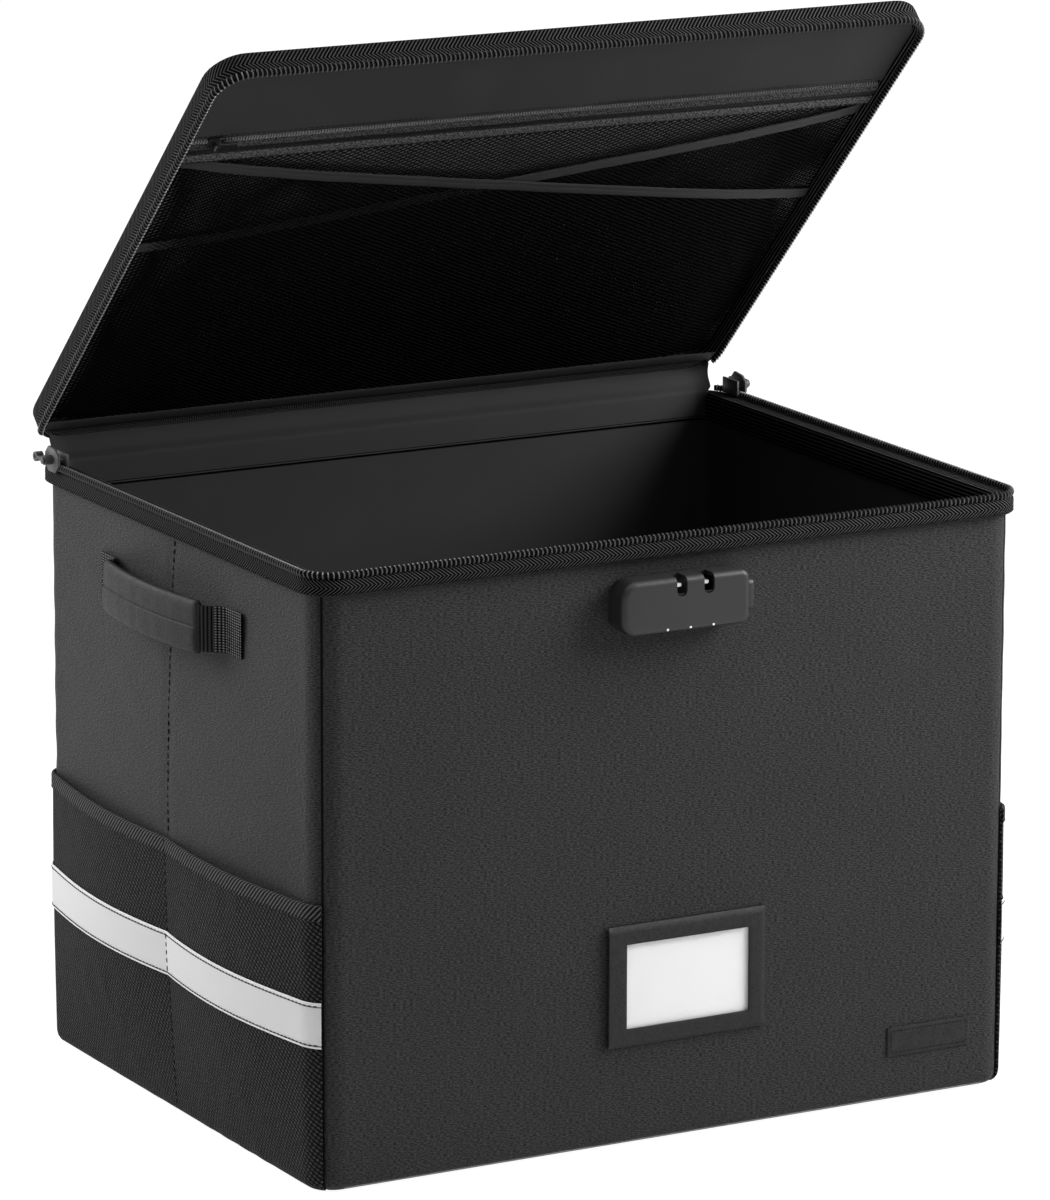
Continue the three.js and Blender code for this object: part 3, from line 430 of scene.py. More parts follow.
def paint_leather():
    """Leather-grained cloth of the grips and the card holder"""
    f = Finish("leather_cloth", Specular_IOR_Level=0.24)
    place = f.place()
    cells = f.cells(place, 1100.0)
    folds = f.noise(place, 260.0, 3.0, 0.5)
    speck = f.noise(place, 1500.0, 2.0)
    tone = speck * 0.6 + folds * 0.5 - cells * 0.3
    f.feed(Base_Color=f.mix(tone, grey(14), grey(52)), Roughness=0.5 + cells * 0.2)
    return f.bump(folds - cells * 0.6 + speck * 0.2, 0.0003, 0.45)


def paint_plastic():
    """Moulded plastic with a fine spark texture"""
    f = Finish("lock_plastic", Specular_IOR_Level=0.4)
    place = f.place()
    spark = f.noise(place, 2200.0, 2.0)
    tone = spark * 0.5 + f.noise(place, 60.0, 2.0) * 0.5
    f.feed(Base_Color=f.mix(tone, grey(30), grey(44)), Roughness=0.38 + spark * 0.16)
    return f.bump(spark, 0.00008, 0.35)


def paint_steel():
    """Bright plated steel"""
    f = Finish("plated_steel", Metallic=0.5)
    x, y, z = f.split(f.place())
    brush = f.noise(f.vector(x * 60.0, y * 2600.0, z * 2600.0), 1.0)
    f.feed(Base_Color=f.mix(brush, grey(206), grey(236)), Roughness=0.18 + brush * 0.16)
    return f.bump(brush, 0.00004, 0.3)


def paint_thread():
    """Twisted sewing thread"""
    f = Finish("sewing_thread", 0.8, Specular_IOR_Level=0.1)
    x, y, z = f.split(f.place())
    twist = (x + y + z).ribs(0.0006)
    f.feed(Base_Color=f.mix(twist, grey(3), grey(16)))
    return f.bump(twist, 0.0001, 0.4)


PAINTS = {
    "shell": paint_shell,
    "pocket": paint_pocket,
    "lining": paint_lining,
    # Painted light: the backing behind the lid's nets is painted far paler than the black lining, standing
    # in for light seen through the nets' openings
    "backing": lambda: paint_lining("painted_light_backing_cloth", (grey(113.4), grey(126))),
    "rim_tape": lambda: paint_tape("rim_tape_cloth", 0.0026, 0.0073, 0.0120, 1.3),
    # The lid band's inner face, past 31 mm across its profile, is painted paler as painted light against
    # its shade
    "lid_band": lambda: paint_tape("band_tape_cloth_painted_light_inside", 0.0026, 0.0079, 0.0160, -0.92, 0.031),
    "zip_tape": paint_zip_tape,
    "binding": paint_binding,
    "hem": paint_hem,
    "woven": paint_woven,
    "webbing": lambda: paint_woven("handle_webbing", (0.0225, 0.0335), 0.0042),
    "strip": paint_strip,
    "leather": paint_leather,
    "plastic": paint_plastic,
    "steel": paint_steel,
    "thread": paint_thread,
}


# Making and finishing meshes
def deselect():
    bpy.ops.object.select_all(action="DESELECT")


def activate(piece):
    deselect()
    piece.select_set(True)
    bpy.context.view_layer.objects.active = piece


def modify(piece, kind, **settings):
    modifier = piece.modifiers.new(kind.lower(), kind)
    for key, value in settings.items():
        setattr(modifier, key, value)
    activate(piece)
    bpy.ops.object.modifier_apply(modifier=modifier.name)
    return piece


def bevel(piece, width, degrees):
    angle = math.radians(degrees)
    return modify(piece, "BEVEL", width=width, segments=2, limit_method="ANGLE", angle_limit=angle)


def place_object(name, data):
    piece = bpy.data.objects.new(name, data)
    bpy.context.scene.collection.objects.link(piece)
    return piece


def edit(piece, *steps):
    """Runs edit-mode operators on the whole of a piece."""
    activate(piece)
    bpy.ops.object.mode_set(mode="EDIT")
    bpy.ops.mesh.select_all(action="SELECT")
    for operator, settings in steps:
        operator(**settings)
    bpy.ops.object.mode_set(mode="OBJECT")
    return piece


def select(piece, kind, wanted):
    """Selects the faces or edges that pass a test, and leaves the piece in edit mode."""
    activate(piece)
    bpy.ops.object.mode_set(mode="EDIT")
    bpy.ops.mesh.select_mode(type=kind)
    bpy.ops.mesh.select_all(action="DESELECT")
    bpy.ops.object.mode_set(mode="OBJECT")
    for item in piece.data.polygons if kind == "FACE" else piece.data.edges:
        item.select = wanted(item)
    bpy.ops.object.mode_set(mode="EDIT")


def smooth(piece, degrees=40):
    activate(piece)
    bpy.ops.object.shade_smooth_by_angle(angle=math.radians(degrees))
    return piece


def dress(piece, material, body=None, replaces=()):
    """Gives a piece its finish and its body, and hides the nodes that it stands for."""
    piece.data.materials.clear()
    piece.data.materials.append(finish(material))
    if replaces:
        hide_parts(*replaces)
    if body:
        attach(piece, body)
    return piece


def paint_node(name, paint):
    """Gives a CAD node whose shape is right a better material."""
    frame["nodes"][name].data.materials[0] = finish(paint)


def run_lengths(points):
    """Distance along a line of points, from its first."""
    steps = np.linalg.norm(np.diff(points, axis=0), axis=1)
    return np.concatenate([[0.0], np.cumsum(steps)])


def sheet(name, points, thickness=0.0, closed=False, degrees=40, measured=None):
    """A grid laid through a table of points, with a UV map in metres and its thickness to the inside."""
    across, along = points.shape[0] - 1, points.shape[1] - 1
    deselect()
    bpy.ops.mesh.primitive_grid_add(x_subdivisions=across, y_subdivisions=along, size=2, calc_uvs=True)
    piece = bpy.context.active_object
    piece.name = piece.data.name = name
    mesh = piece.data
    flat = np.empty(len(mesh.vertices) * 3)
    mesh.vertices.foreach_get("co", flat)
    flat = (flat.reshape(-1, 3)[:, :2] + 1) / 2
    i, j = np.rint(flat * (across, along)).astype(int).T
    mesh.vertices.foreach_set("co", points[i, j].ravel())
    layer = mesh.uv_layers.active.data
    uv = np.empty(len(mesh.loops) * 2)
    layer.foreach_get("uv", uv)
    i, j = np.rint(uv.reshape(-1, 2) * (across, along)).astype(int).T
    row = along // 2 if measured is None else measured
    u, v = run_lengths(points[:, row]), run_lengths(points[across // 2])
    layer.foreach_set("uv", np.stack([u[i], v[j]], axis=1).ravel())
    mesh.update()
    if closed:
        edit(piece, (bpy.ops.mesh.remove_doubles, {"threshold": 0.01 * MM}))
    if thickness:
        modify(piece, "SOLIDIFY", thickness=thickness, offset=-1.0, use_even_offset=True)
    return smooth(piece, degrees)


def ring_size(points):
    """Flat width and length of a folded tape made as a closed profile carried round a line."""
    return (run_lengths(points[0])[-1] / 2, run_lengths(points[:, 0])[-1])


def cloth(
    name, points, thickness, paint, slot, body, replaces, rests_on, held="stretched", flat=None, **how
):
    """A sheet of cloth through a table of points"""
    piece = dress(sheet(name, points, thickness, **how), paint, body, replaces)
    return piece


def repeat(name, unit, places):
    """Copies of one small shape at many places, as one mesh."""
    mesh = unit.data
    co = np.array([v.co for v in mesh.vertices])
    faces = [list(p.vertices) for p in mesh.polygons]
    places = np.asarray(places)
    spots = np.einsum("kij,nj->kni", places[:, :3, :3], co) + places[:, None, :3, 3]
    every = [[k * len(co) + i for i in face] for k in range(len(places)) for face in faces]
    copy = bpy.data.meshes.new(name)
    copy.from_pydata(spots.reshape(-1, 3).tolist(), [], every)
    copy.update()
    piece = place_object(name, copy)
    bpy.data.objects.remove(unit)
    return smooth(piece, 60)


def frames_along(points, outward, pitch):
    """Places at even steps along a line: X runs along it and Z points outward."""
    points = np.asarray(points, float)
    outward = np.broadcast_to(np.asarray(outward, float), points.shape)
    at = run_lengths(points)
    stops = np.arange(pitch / 2, at[-1], pitch)

    def sample(table, shift=0.0):
        return np.stack([np.interp(stops + shift, at, table[:, k]) for k in range(3)], axis=1)

    out = sample(outward)
    x = sample(points, pitch / 4) - sample(points, -pitch / 4)
    x /= np.linalg.norm(x, axis=1, keepdims=True)
    z = out - (out * x).sum(1, keepdims=True) * x
    z /= np.linalg.norm(z, axis=1, keepdims=True)
    places = np.zeros((len(stops), 4, 4))
    places[:, :3] = np.stack([x, np.cross(z, x), z, sample(points)], axis=-1)
    places[:, 3, 3] = 1
    return places


def small_ball(segments, rings, radius, scale):
    deselect()
    bpy.ops.mesh.primitive_uv_sphere_add(segments=segments, ring_count=rings, radius=radius, scale=scale)
    unit = bpy.context.active_object
    activate(unit)
    bpy.ops.object.transform_apply(location=False, rotation=False, scale=True)
    return unit


# Stitches: their distance, length, width and height, in millimetres
SEAM_STITCH = (4.3, 3.2, 1.3, 0.8)
TAPE_STITCH = (3.2, 2.2, 0.45, 0.35)
ZIP_STITCH = (3, 2.1, 0.4, 0.4)
STRIP_STITCH = (3.2, 2.7, 0.7, 0.5)
HEM_STITCH = (3.4, 2.4, 0.45, 0.4)
WEBBING_STITCH = (2.9, 2.0, 0.5, 0.4)
PATCH_STITCH = (2.3, 1.6, 0.4, 0.35)


def stitches(name, lines, body, size):
    """Thread stitches along several lines, each a pair of points and outward directions."""
    pitch, *scale = (side * MM for side in size)
    unit = small_ball(6, 4, 0.5, scale)
    places = np.concatenate([frames_along(p, o, pitch) for p, o in lines])
    return dress(repeat(name, unit, places), "thread", body)


# The box's walls and outline. A share runs from -1 at a wall's first seam to 1 at its second.
def tuck(z):
    """How far the foot of a wall turns in."""
    r = sizes().foot_round
    low = np.clip(r - np.asarray(z, float), 0, r)
    return -(r - np.sqrt(r * r - low * low))


def bow(wall, share, z):
    amount = {FRONT: 0.0, RIGHT: sizes().side_bow, BACK: sizes().back_bow, LEFT: sizes().side_bow}[wall]
    across = np.clip(1 - (np.asarray(share) / (1 - ARC_SHARE)) ** 2, 0, 1) ** 1.2
    return amount * across * np.sin(np.pi * np.clip(np.asarray(z) / WALL_TOP, 0, 1))


def from_wall(wall, s, n, z):
    """Points along a wall and outwards from the middle, in the box's frame."""
    x, y = {FRONT: (s, -n), RIGHT: (n, s), BACK: (-s, n), LEFT: (-n, -s)}[wall]
    return np.stack([x, y, z], axis=-1)


def wall_points(wall, share, z, off=0.0, gap=0.0):
    """Points on a wall's outer face at a stand-off."""
    share, z, off = np.broadcast_arrays(*(np.asarray(item, float) for item in (share, z, off)))
    off = off + bow(wall, share, z) + tuck(z)
    span, reach = WALL_SPANS[wall]
    flat = 1 - ARC_SHARE
    sign = np.sign(share)
    turn = np.clip((np.abs(share) - flat) / ARC_SHARE, 0, 1) * (math.pi / 4 - gap)
    s = sign * (span - CORNER) * np.clip(np.abs(share) / flat, 0, 1) + sign * (CORNER + off) * np.sin(turn)
    return from_wall(wall, s, reach - CORNER + (CORNER + off) * np.cos(turn), z)


def wall_outward(wall, share):
    share = np.asarray(share, float)
    turn = np.sign(share) * np.clip((np.abs(share) - 1 + ARC_SHARE) / ARC_SHARE, 0, 1) * math.pi / 4
    return from_wall(wall, np.sin(turn), np.cos(turn), 0 * turn)


def wall_shares():
    flat = 1 - ARC_SHARE
    arc = np.linspace(flat, 1, 10)[1:]
    return np.concatenate([-arc[::-1], np.linspace(-flat, flat, 57), arc])


def rim_line(inset=0.0):
    """The box's closed outline from above, from the middle of the back: points and outward directions."""
    spots, outs = [(0.0, HALF_Y - inset)], [(0.0, 1.0)]
    for side_x, side_y, start in ((-1, 1, 90), (-1, -1, 180), (1, -1, 270), (1, 1, 0)):
        centre = np.array([side_x * (HALF_X - CORNER), side_y * (HALF_Y - CORNER)])
        for angle in np.radians(np.linspace(start, start + 90, 9)):
            outs.append((math.cos(angle), math.sin(angle)))
            spots.append(centre + np.array(outs[-1]) * (CORNER - inset))
    return np.array([*spots, spots[0]]), np.array([*outs, outs[0]])


def ring_points(profile, to_world):
    """Table of points for a profile of (outward, height) carried round the box's outline."""
    spots, outs = rim_line()
    n, height = (np.asarray(profile, float) * MM).T
    x, y = (spots[:, axis, None] + outs[:, axis, None] * n for axis in (0, 1))
    return to_world(x, y, height)


def upright(x, y, z):
    return np.stack(np.broadcast_arrays(x, y, z), axis=-1)


def lid_points(x, reach, height):
    """Points in the open lid, by the distance from the hinge and the height above the parting line."""
    x, reach, height = np.broadcast_arrays(x, reach, height)
    c, s = math.cos(LID_OPEN), math.sin(LID_OPEN)
    return np.stack([x, HINGE_Y - reach * c + height * s, HINGE_Z + reach * s + height * c], axis=-1)


def lid_closed(x, y, height):
    return lid_points(x, HINGE_Y - y, height)


def lid_direction(dx, dreach, dheight):
    return lid_points(dx, dreach, dheight) - lid_points(0.0, 0.0, 0.0)


def waves(a, b, amount, seed):
    """Soft uneven waves over a surface."""
    rng = np.random.default_rng(seed)
    total = 0.0
    for _ in range(6):
        fa, fb = rng.uniform(6, 34, 2)
        total = total + np.sin(a * fa + rng.uniform(0, 6)) * np.sin(b * fb + rng.uniform(0, 6))
    return amount * total / 3


def ridge(away, height, width):
    """A soft ridge, by the distance away from its middle."""
    return height * MM * np.exp(-((away / (width * MM)) ** 2))


# Outer cloth
def sew_shell():
    gap = 0.25 * MM / CORNER
    foot = np.array([0.0, 0.25, 0.8, 1.6, 2.8, 4.2, 6.0]) * MM
    z = np.concatenate([foot, np.linspace(8 * MM, WALL_TOP - 1 * MM, 52)])
    for wall, name in enumerate(WALLS):
        s, zz = np.meshgrid(wall_shares(), z, indexing="ij")
        curl = -0.9 * MM * np.clip((np.abs(s) - 0.985) / 0.015, 0, 1) ** 2
        off = curl + waves(s, zz * 6, 0.12 * MM, wall)
        board = f"{name}_board"
        if wall in (LEFT, RIGHT):
            along = s * (WALL_SPANS[wall][0] - CORNER)
            off = off - ridge(along, 0.7, 2.2)
            off = off + waves(s, zz * 8, 0.25 * MM, wall + 9)
            board += "_front"
        points = wall_points(wall, s, zz, off, gap)
        look = ("shell", "shell_cloth", "box", [f"{name}_cloth"])
        cloth(f"{name}_panel", points, sizes().cloth, *look, [board])
    inset = sizes().foot_round - 0.4 * MM
    points = plan_points(HALF_X - inset, HALF_Y - inset, CORNER - inset, 24, 20)[:, ::-1]
    points[..., 2] = 0.05 * MM
    look = ("shell", "shell_cloth", "box", ["bottom_cloth"])
    cloth("bottom_panel", points, sizes().cloth, *look, ["bottom_board"])


def plan_points(half_x, half_y, radius, across, along):
    """Level grid that fills a rectangle with rounded corners."""
    edge = np.linspace(0, math.pi / 2, 7)[1:]
    tail = half_y - radius + radius * np.sin(edge)
    inner = np.linspace(-(half_y - radius), half_y - radius, along + 1)
    y = np.concatenate([-tail[::-1], inner, tail])
    over = np.clip(np.abs(y) - (half_y - radius), 0, radius)
    half = half_x - radius + np.sqrt(radius * radius - over * over)
    t = np.linspace(-1, 1, across + 1)
    x = t[:, None] * half[None, :]
    yy = np.broadcast_to(y, x.shape)
    return np.stack([x, yy, 0 * x], axis=-1)


def sew_corner_welts():
    """A thin dark piping in each corner seam"""
    z = np.linspace(1.5 * MM, WALL_TOP - 6 * MM, 60)
    ring = np.linspace(0, 2 * math.pi, 9)[:, None, None]
    radius = 0.55 * MM
    for wall, name in enumerate(("front_left", "front_right", "back_right", "back_left")):
        out = wall_outward(wall, -1.0)
        side = np.array([-out[1], out[0], 0.0])
        middle = wall_points(wall, -1.0, z, -0.75 * MM)
        points = middle[None] + radius * np.cos(ring) * out + radius * np.sin(ring) * side
        dress(sheet(f"corner_welt_{name}", points, closed=True), "cord", "box")


def sew_side_seams():
    z = np.linspace(sizes().pocket_top + 3 * MM, WALL_TOP - 10 * MM, 60)
    lines = [(wall_points(wall, 0.0, z, -0.55 * MM), wall_outward(wall, 0.0)) for _, wall, _ in SIDES]
    stitches("side_seam_stitches", lines, "box", SEAM_STITCH)


# Lining and base board
def sew_lining():
    points = ring_points([(-6.0, z) for z in np.linspace(7.0, 316.5, 40)], upright)
    z = points[..., 2]
    sag = waves(points[..., 0] * 2, z * 6, 0.3 * MM, 3) * np.sin(np.pi * z / WALL_TOP) - 0.3 * MM
    points[..., :2] += rim_line()[1][:, None, :] * sag[..., None]
    look = ("lining", "lining_cloth", "box")
    cloth("lining_walls", points, 0.6 * MM, *look, ["lining"], ["front_board", "back_board"], closed=True)
    inset = 5.9 * MM
    floor = plan_points(HALF_X - inset, HALF_Y - inset, CORNER - inset, 16, 14)
    floor[..., 2] = 6.55 * MM
    cloth("lining_floor", floor, 0.6 * MM, *look, [], ["bottom_board"])


def cover_base_board():
    low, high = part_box("base_board")
    top = plan_points(high.x, high.y, 5 * MM, 30, 26)
    x, y = top[..., 0], top[..., 1]
    edge = np.minimum(high.x - np.abs(x), high.y - np.abs(y))
    top[..., 2] = high.z - 0.5 * MM * np.exp(-edge / (2 * MM)) + waves(x * 3, y * 3, 0.06 * MM, 4)
    piece = bevel(sheet("base_board_cover", top, high.z - low.z - 0.55 * MM), 0.6 * MM, 50)
    dress(smooth(piece, 50), "lining", "base_board", ["base_board"])


# Rim tape and zip coils
def tooth_unit(width, height, wire, lean):
    """One loop of a coil: a bent ring that leans along the zip"""
    deselect()
    bpy.ops.mesh.primitive_torus_add(
        major_segments=8, minor_segments=4, major_radius=0.5, minor_radius=0.5 * wire / width
    )
    unit = bpy.context.active_object
    for vertex in unit.data.vertices:
        a, b, c = vertex.co
        vertex.co = (c * width + lean * b * width, a * width, b * height)
    return unit


def rim_teeth(name, to_world, middle, height, lean, out):
    """Teeth along the rim's outline, but for the stretch over the hinge"""
    line, outs = rim_line(-out)
    keep = line[:, 1] < HALF_Y - 5 * MM
    line, outs = line[keep], outs[keep]
    line[[0, -1], 1] = HALF_Y - 6.5 * MM
    outs[0], outs[-1] = (-1, 0), (1, 0)
    points = to_world(*line.T, middle)
    places = frames_along(points, to_world(*(line + outs).T, middle) - points, sizes().tooth_pitch)
    upended = np.array([[1, 0, 0, 0], [0, 0, -1, 0], [0, 1, 0, 0], [0, 0, 0, 1]])
    unit = tooth_unit(2.6 * MM, height / 1.3, 0.78 * MM, lean * 0.12)
    return repeat(name, unit, places @ upended), points


def cord_along(name, points, middle, tall, wide):
    """An oval cord along a line that runs round a middle"""
    at = run_lengths(points)
    tangent = np.gradient(points, at, axis=0)
    tangent /= np.linalg.norm(tangent, axis=1, keepdims=True)
    out = points - middle
    out -= (out * tangent).sum(1, keepdims=True) * tangent
    out /= np.linalg.norm(out, axis=1, keepdims=True)
    up = np.cross(tangent, out)
    a = np.linspace(0, 2 * math.pi, 7)
    table = points[None] + tall * np.cos(a)[:, None, None] * up + wide * np.sin(a)[:, None, None] * out
    return sheet(name, table, closed=True)


# Profiles of the folded tapes, outwards from the outline and up, in millimetres
RIM_PROFILE = (
    (0.5, 309.9), (3.0, 309.8), (3.8, 310.4), (4.05, 312.0), (4.0, 314.0), (4.05, 315.8), (3.9, 317.3),
    (3.2, 318.3), (1.8, 318.7), (-1.5, 318.8), (-5.5, 319.0), (-7.5, 318.7), (-8.05, 317.4), (-8.1, 311.0),
    (-8.05, 304.2), (-7.5, 303.6), (-6.95, 304.0), (-6.9, 317.0), (-6.2, 317.7), (0.2, 317.7), (0.5, 317.2),
    (0.5, 309.9),
)

BAND_PROFILE = (
    (0.5, 4.6), (3.2, 4.5), (3.9, 5.2), (4.05, 7.0), (4.0, 10.5), (4.05, 13.8), (3.9, 15.6), (3.3, 16.6),
    (2.0, 16.9), (-2.5, 16.9), (-6.3, 16.85), (-6.95, 16.5), (-6.6, 16.15), (-1.0, 16.1), (0.35, 15.6),
    (0.35, 5.0), (0.5, 4.6),
)


def sew_zip_half(part, band, body, to_world, profile, rests_on, middle, height, lean, out, core):
    """Tape folded over the whole outline, with teeth and a filler cord on its sides and front"""
    tape = f"{part}_{band}"
    points = ring_points(profile, to_world)
    look = (tape, "zip_tape", body, [tape])
    fold = {"held": "folded", "flat": ring_size(points), "closed": True, "degrees": 50, "measured": 4}
    cloth(f"{tape}_folded", points, 0.0, *look, rests_on, **fold)
    teeth, line = rim_teeth(f"{part}_zip_teeth", to_world, middle * MM, height * MM, lean, out * MM)
    dress(teeth, "coil", body, [f"{part}_coil"])
    cord = cord_along(f"{part}_zip_cord", line, line.mean(0), core * MM, 0.95 * MM)
    dress(cord, "cord", body)


def sew_rim():
    rests_on = ["front_cloth", "back_cloth"]
    sew_zip_half("rim", "tape", "box", upright, RIM_PROFILE, rests_on, 320.3, 4.3, 1, 2.7, 1.6)
    path, outs = rim_line(-4.06 * MM)
    line = (upright(*path.T, 310.9 * MM), upright(*outs.T, 0.0))
    stitches("rim_tape_stitches", [line], "box", TAPE_STITCH)


def sew_lid_band():
    sew_zip_half("lid", "band", "lid", lid_closed, BAND_PROFILE, ["lid_board"], 3.9, 5.4, -1, 3.0, 2.0)
    path, _ = rim_line(6.2 * MM)
    line = (lid_closed(*path.T, 16.9 * MM), lid_direction(0.0, 0.0, 1.0))
    stitches("lid_band_stitches", [line], "lid", TAPE_STITCH)


# Lid
def sew_lid_shell():
    grid = plan_points(HALF_X - 0.2 * MM, HALF_Y - 0.2 * MM, CORNER, 44, 36)
    x, y = grid[..., 0], grid[..., 1]
    dome = (1 - (x / HALF_X) ** 2) * (1 - (y / HALF_Y) ** 2)
    height = 15.75 * MM + 1.6 * MM * np.clip(dome, 0, 1) ** 0.6 + waves(x * 2, y * 2, 0.15 * MM, 5)
    look, board = ("shell", "shell_cloth", "lid"), ["lid_board"]
    cloth("lid_top_panel", lid_closed(x, y, height), 0.9 * MM, *look, ["lid_cloth"], board)
    points = lid_closed(x, y, 11.55 * MM + waves(x * 2, y * 2, 0.25 * MM, 6))[:, ::-1]
    # The lid's inner cloth takes the backing, painted pale as painted light that shows through the nets
    look = ("backing", "lining_cloth", "lid")
    cloth("lid_inner_cloth", points, 0.5 * MM, *look, ["lid_lining"], board)


def half_at(reach):
    """Half width of the lid's inside at a reach."""
    y = HINGE_Y - reach
    over = np.clip(np.abs(y) - (HALF_Y - CORNER), 0, CORNER)
    return HALF_X - CORNER + np.sqrt(np.clip(CORNER * CORNER - over * over, 0, None))


def across_lid(name, reaches, heights, thickness, paint, slot, replaces, seed, wave=0.15 * MM, steps=60):
    """A strip of cloth from side to side of the lid, facing inwards."""
    reaches, heights = np.asarray(reaches) * MM, np.asarray(heights) * MM
    t = np.linspace(-1, 1, steps + 1)[:, None]
    x = t * (half_at(reaches) - 0.1 * MM)
    height = heights + waves(x * 5, reaches + 0 * x, wave, seed) * (1 - t**2)
    cloth(name, lid_points(x, reaches, height), thickness, paint, slot, "lid", replaces, ["lid_board"])


def strap_middle(x, front):
    """Reach of a strap's middle line; the straps cross half way along the lid."""
    return STRAP_CROSSING + (STRAP_SLOPE_FRONT if front else STRAP_SLOPE_REAR) * x


def net_head(front):
    """The upper edge of a slanting net, just under its strap."""
    return lambda x: strap_middle(x, front) - 3.6 * MM


# The straps' lines, and the profile of a strap: along the lid and inwards, in millimetres
STRAP_CROSSING = 204 * MM
STRAP_SLOPE_FRONT = -0.202
STRAP_SLOPE_REAR = 0.17
STRAP_FOLD = (
    (3.7, 0.85), (1.0, 0.8), (-3.2, 0.8), (-3.8, 0.65), (-4.05, 0.35), (-3.8, 0.08),
    (-3.2, -0.02), (-1.0, -0.05), (0.9, 0.0), (1.2, 0.1), (1.5, 0.0), (3.6, 0.0), (4.0, 0.15),
)


def strap_piece(name, front, height, node):
    x = np.linspace(-HALF_X + 0.1 * MM, HALF_X - 0.1 * MM, 61)
    fold = np.array(STRAP_FOLD) * MM
    deep = (9.6 * MM - height) * np.abs(x / HALF_X) ** 5
    sag = deep - 0.4 * MM * (1 - (x / HALF_X) ** 2) + waves(x * 9, 0.3, 0.2 * MM, 7 + front)
    reach = strap_middle(x, front)[:, None] + fold[:, 0]
    table = lid_points(x[:, None], reach, height + fold[:, 1] + sag[:, None])
    cloth(name, table, 0.3 * MM, "binding", "binding", "lid", [node], ["lid_band"])


def net_piece(name, head, height, bulge, seed, node):
    """A net of crossing threads between the binding and a straight or slanting head"""
    foot, edge = 14.5 * MM, HALF_X - 0.4 * MM
    shortest, longest_step = 1.5 * MM, 14 * MM
    step_up, slope = sizes().net_up, sizes().net_up / sizes().net_across
    curve = bpy.data.curves.new(name, "CURVE")
    curve.dimensions = "3D"
    curve.bevel_depth = sizes().net_thread
    curve.bevel_resolution = 0
    curve.use_fill_caps = True
    left, middle, right = head(-edge), head(0.0), head(edge)
    tilt = (right - left) / (2 * edge)
    for sign in (1, -1):
        start = foot - slope * edge * 2
        for k in range(int((middle + abs(tilt) * edge - foot + slope * edge * 4) / step_up) + 1):
            level = start + k * step_up
            low_x, high_x = -edge, edge
            for a, b in ((slope * sign, level - foot), (tilt - slope * sign, middle - level)):
                if a > 0:
                    low_x = max(low_x, -b / a)
                elif a < 0:
                    high_x = min(high_x, -b / a)
            if high_x - low_x < shortest:
                continue
            count = max(2, int((high_x - low_x) / longest_step) + 2)
            x = np.linspace(low_x, high_x, count)
            reach = level + slope * sign * x
            over = (reach - foot) / np.maximum(head(x) - foot, MM)
            swell = np.sin(np.pi * np.clip(over, 0, 1)) ** 0.8 * np.clip(1 - (x / edge) ** 2, 0, 1) ** 0.6
            deep = (10.4 * MM - height) * np.abs(x / edge) ** 5
            ripple = waves(x * 4, reach * 3, 0.25 * MM, seed)
            lift = height + deep - bulge * swell + sign * 0.12 * MM + ripple
            reach = np.minimum(reach, head(x))
            kept = np.minimum(np.abs(x), half_at(reach) - 0.2 * MM) * np.sign(x)
            spots = np.concatenate([lid_points(kept, reach, lift), np.ones((count, 1))], axis=1)
            spline = curve.splines.new("POLY")
            spline.points.add(count - 1)
            spline.points.foreach_set("co", spots.ravel())
    activate(place_object(name, curve))
    bpy.ops.object.convert(target="MESH")
    piece = dress(bpy.context.active_object, "net", "lid", [node])


def sew_lid_pockets():
    net_piece("main_net", lambda x: 246.2 * MM + 0 * x, 7.9 * MM, 1.5 * MM, 11, "lid_net")
    net_piece("slant_net_behind", net_head(False), 6.4 * MM, 1.2 * MM, 12, "slant_net_rear")
    net_piece("slant_net_before", net_head(True), 5.1 * MM, 1.8 * MM, 13, "slant_net_front")
    strap_piece("strap_behind", False, 6.0 * MM, "strap_rear")
    strap_piece("strap_before", True, 4.6 * MM, "strap_front")
    reaches, heights = (3.4, 3.8, 8.0, 11.6, 14.2), (4.7, 4.5, 4.45, 4.5, 4.7)
    across_lid("woven_foot_tape", reaches, heights, 0.6 * MM, "woven", "binding", [], 21)
    reaches = (19.0, 14.0, 12.4, 11.7, 11.7, 12.3, 14.0, 16.5, 19.0, 19.5)
    heights = (4.5, 4.45, 4.45, 4.3, 4.0, 3.75, 3.6, 3.6, 3.7, 4.0)
    across_lid("net_foot_binding", reaches, heights, 0.3 * MM, "binding", "binding", ["net_binding"], 22)


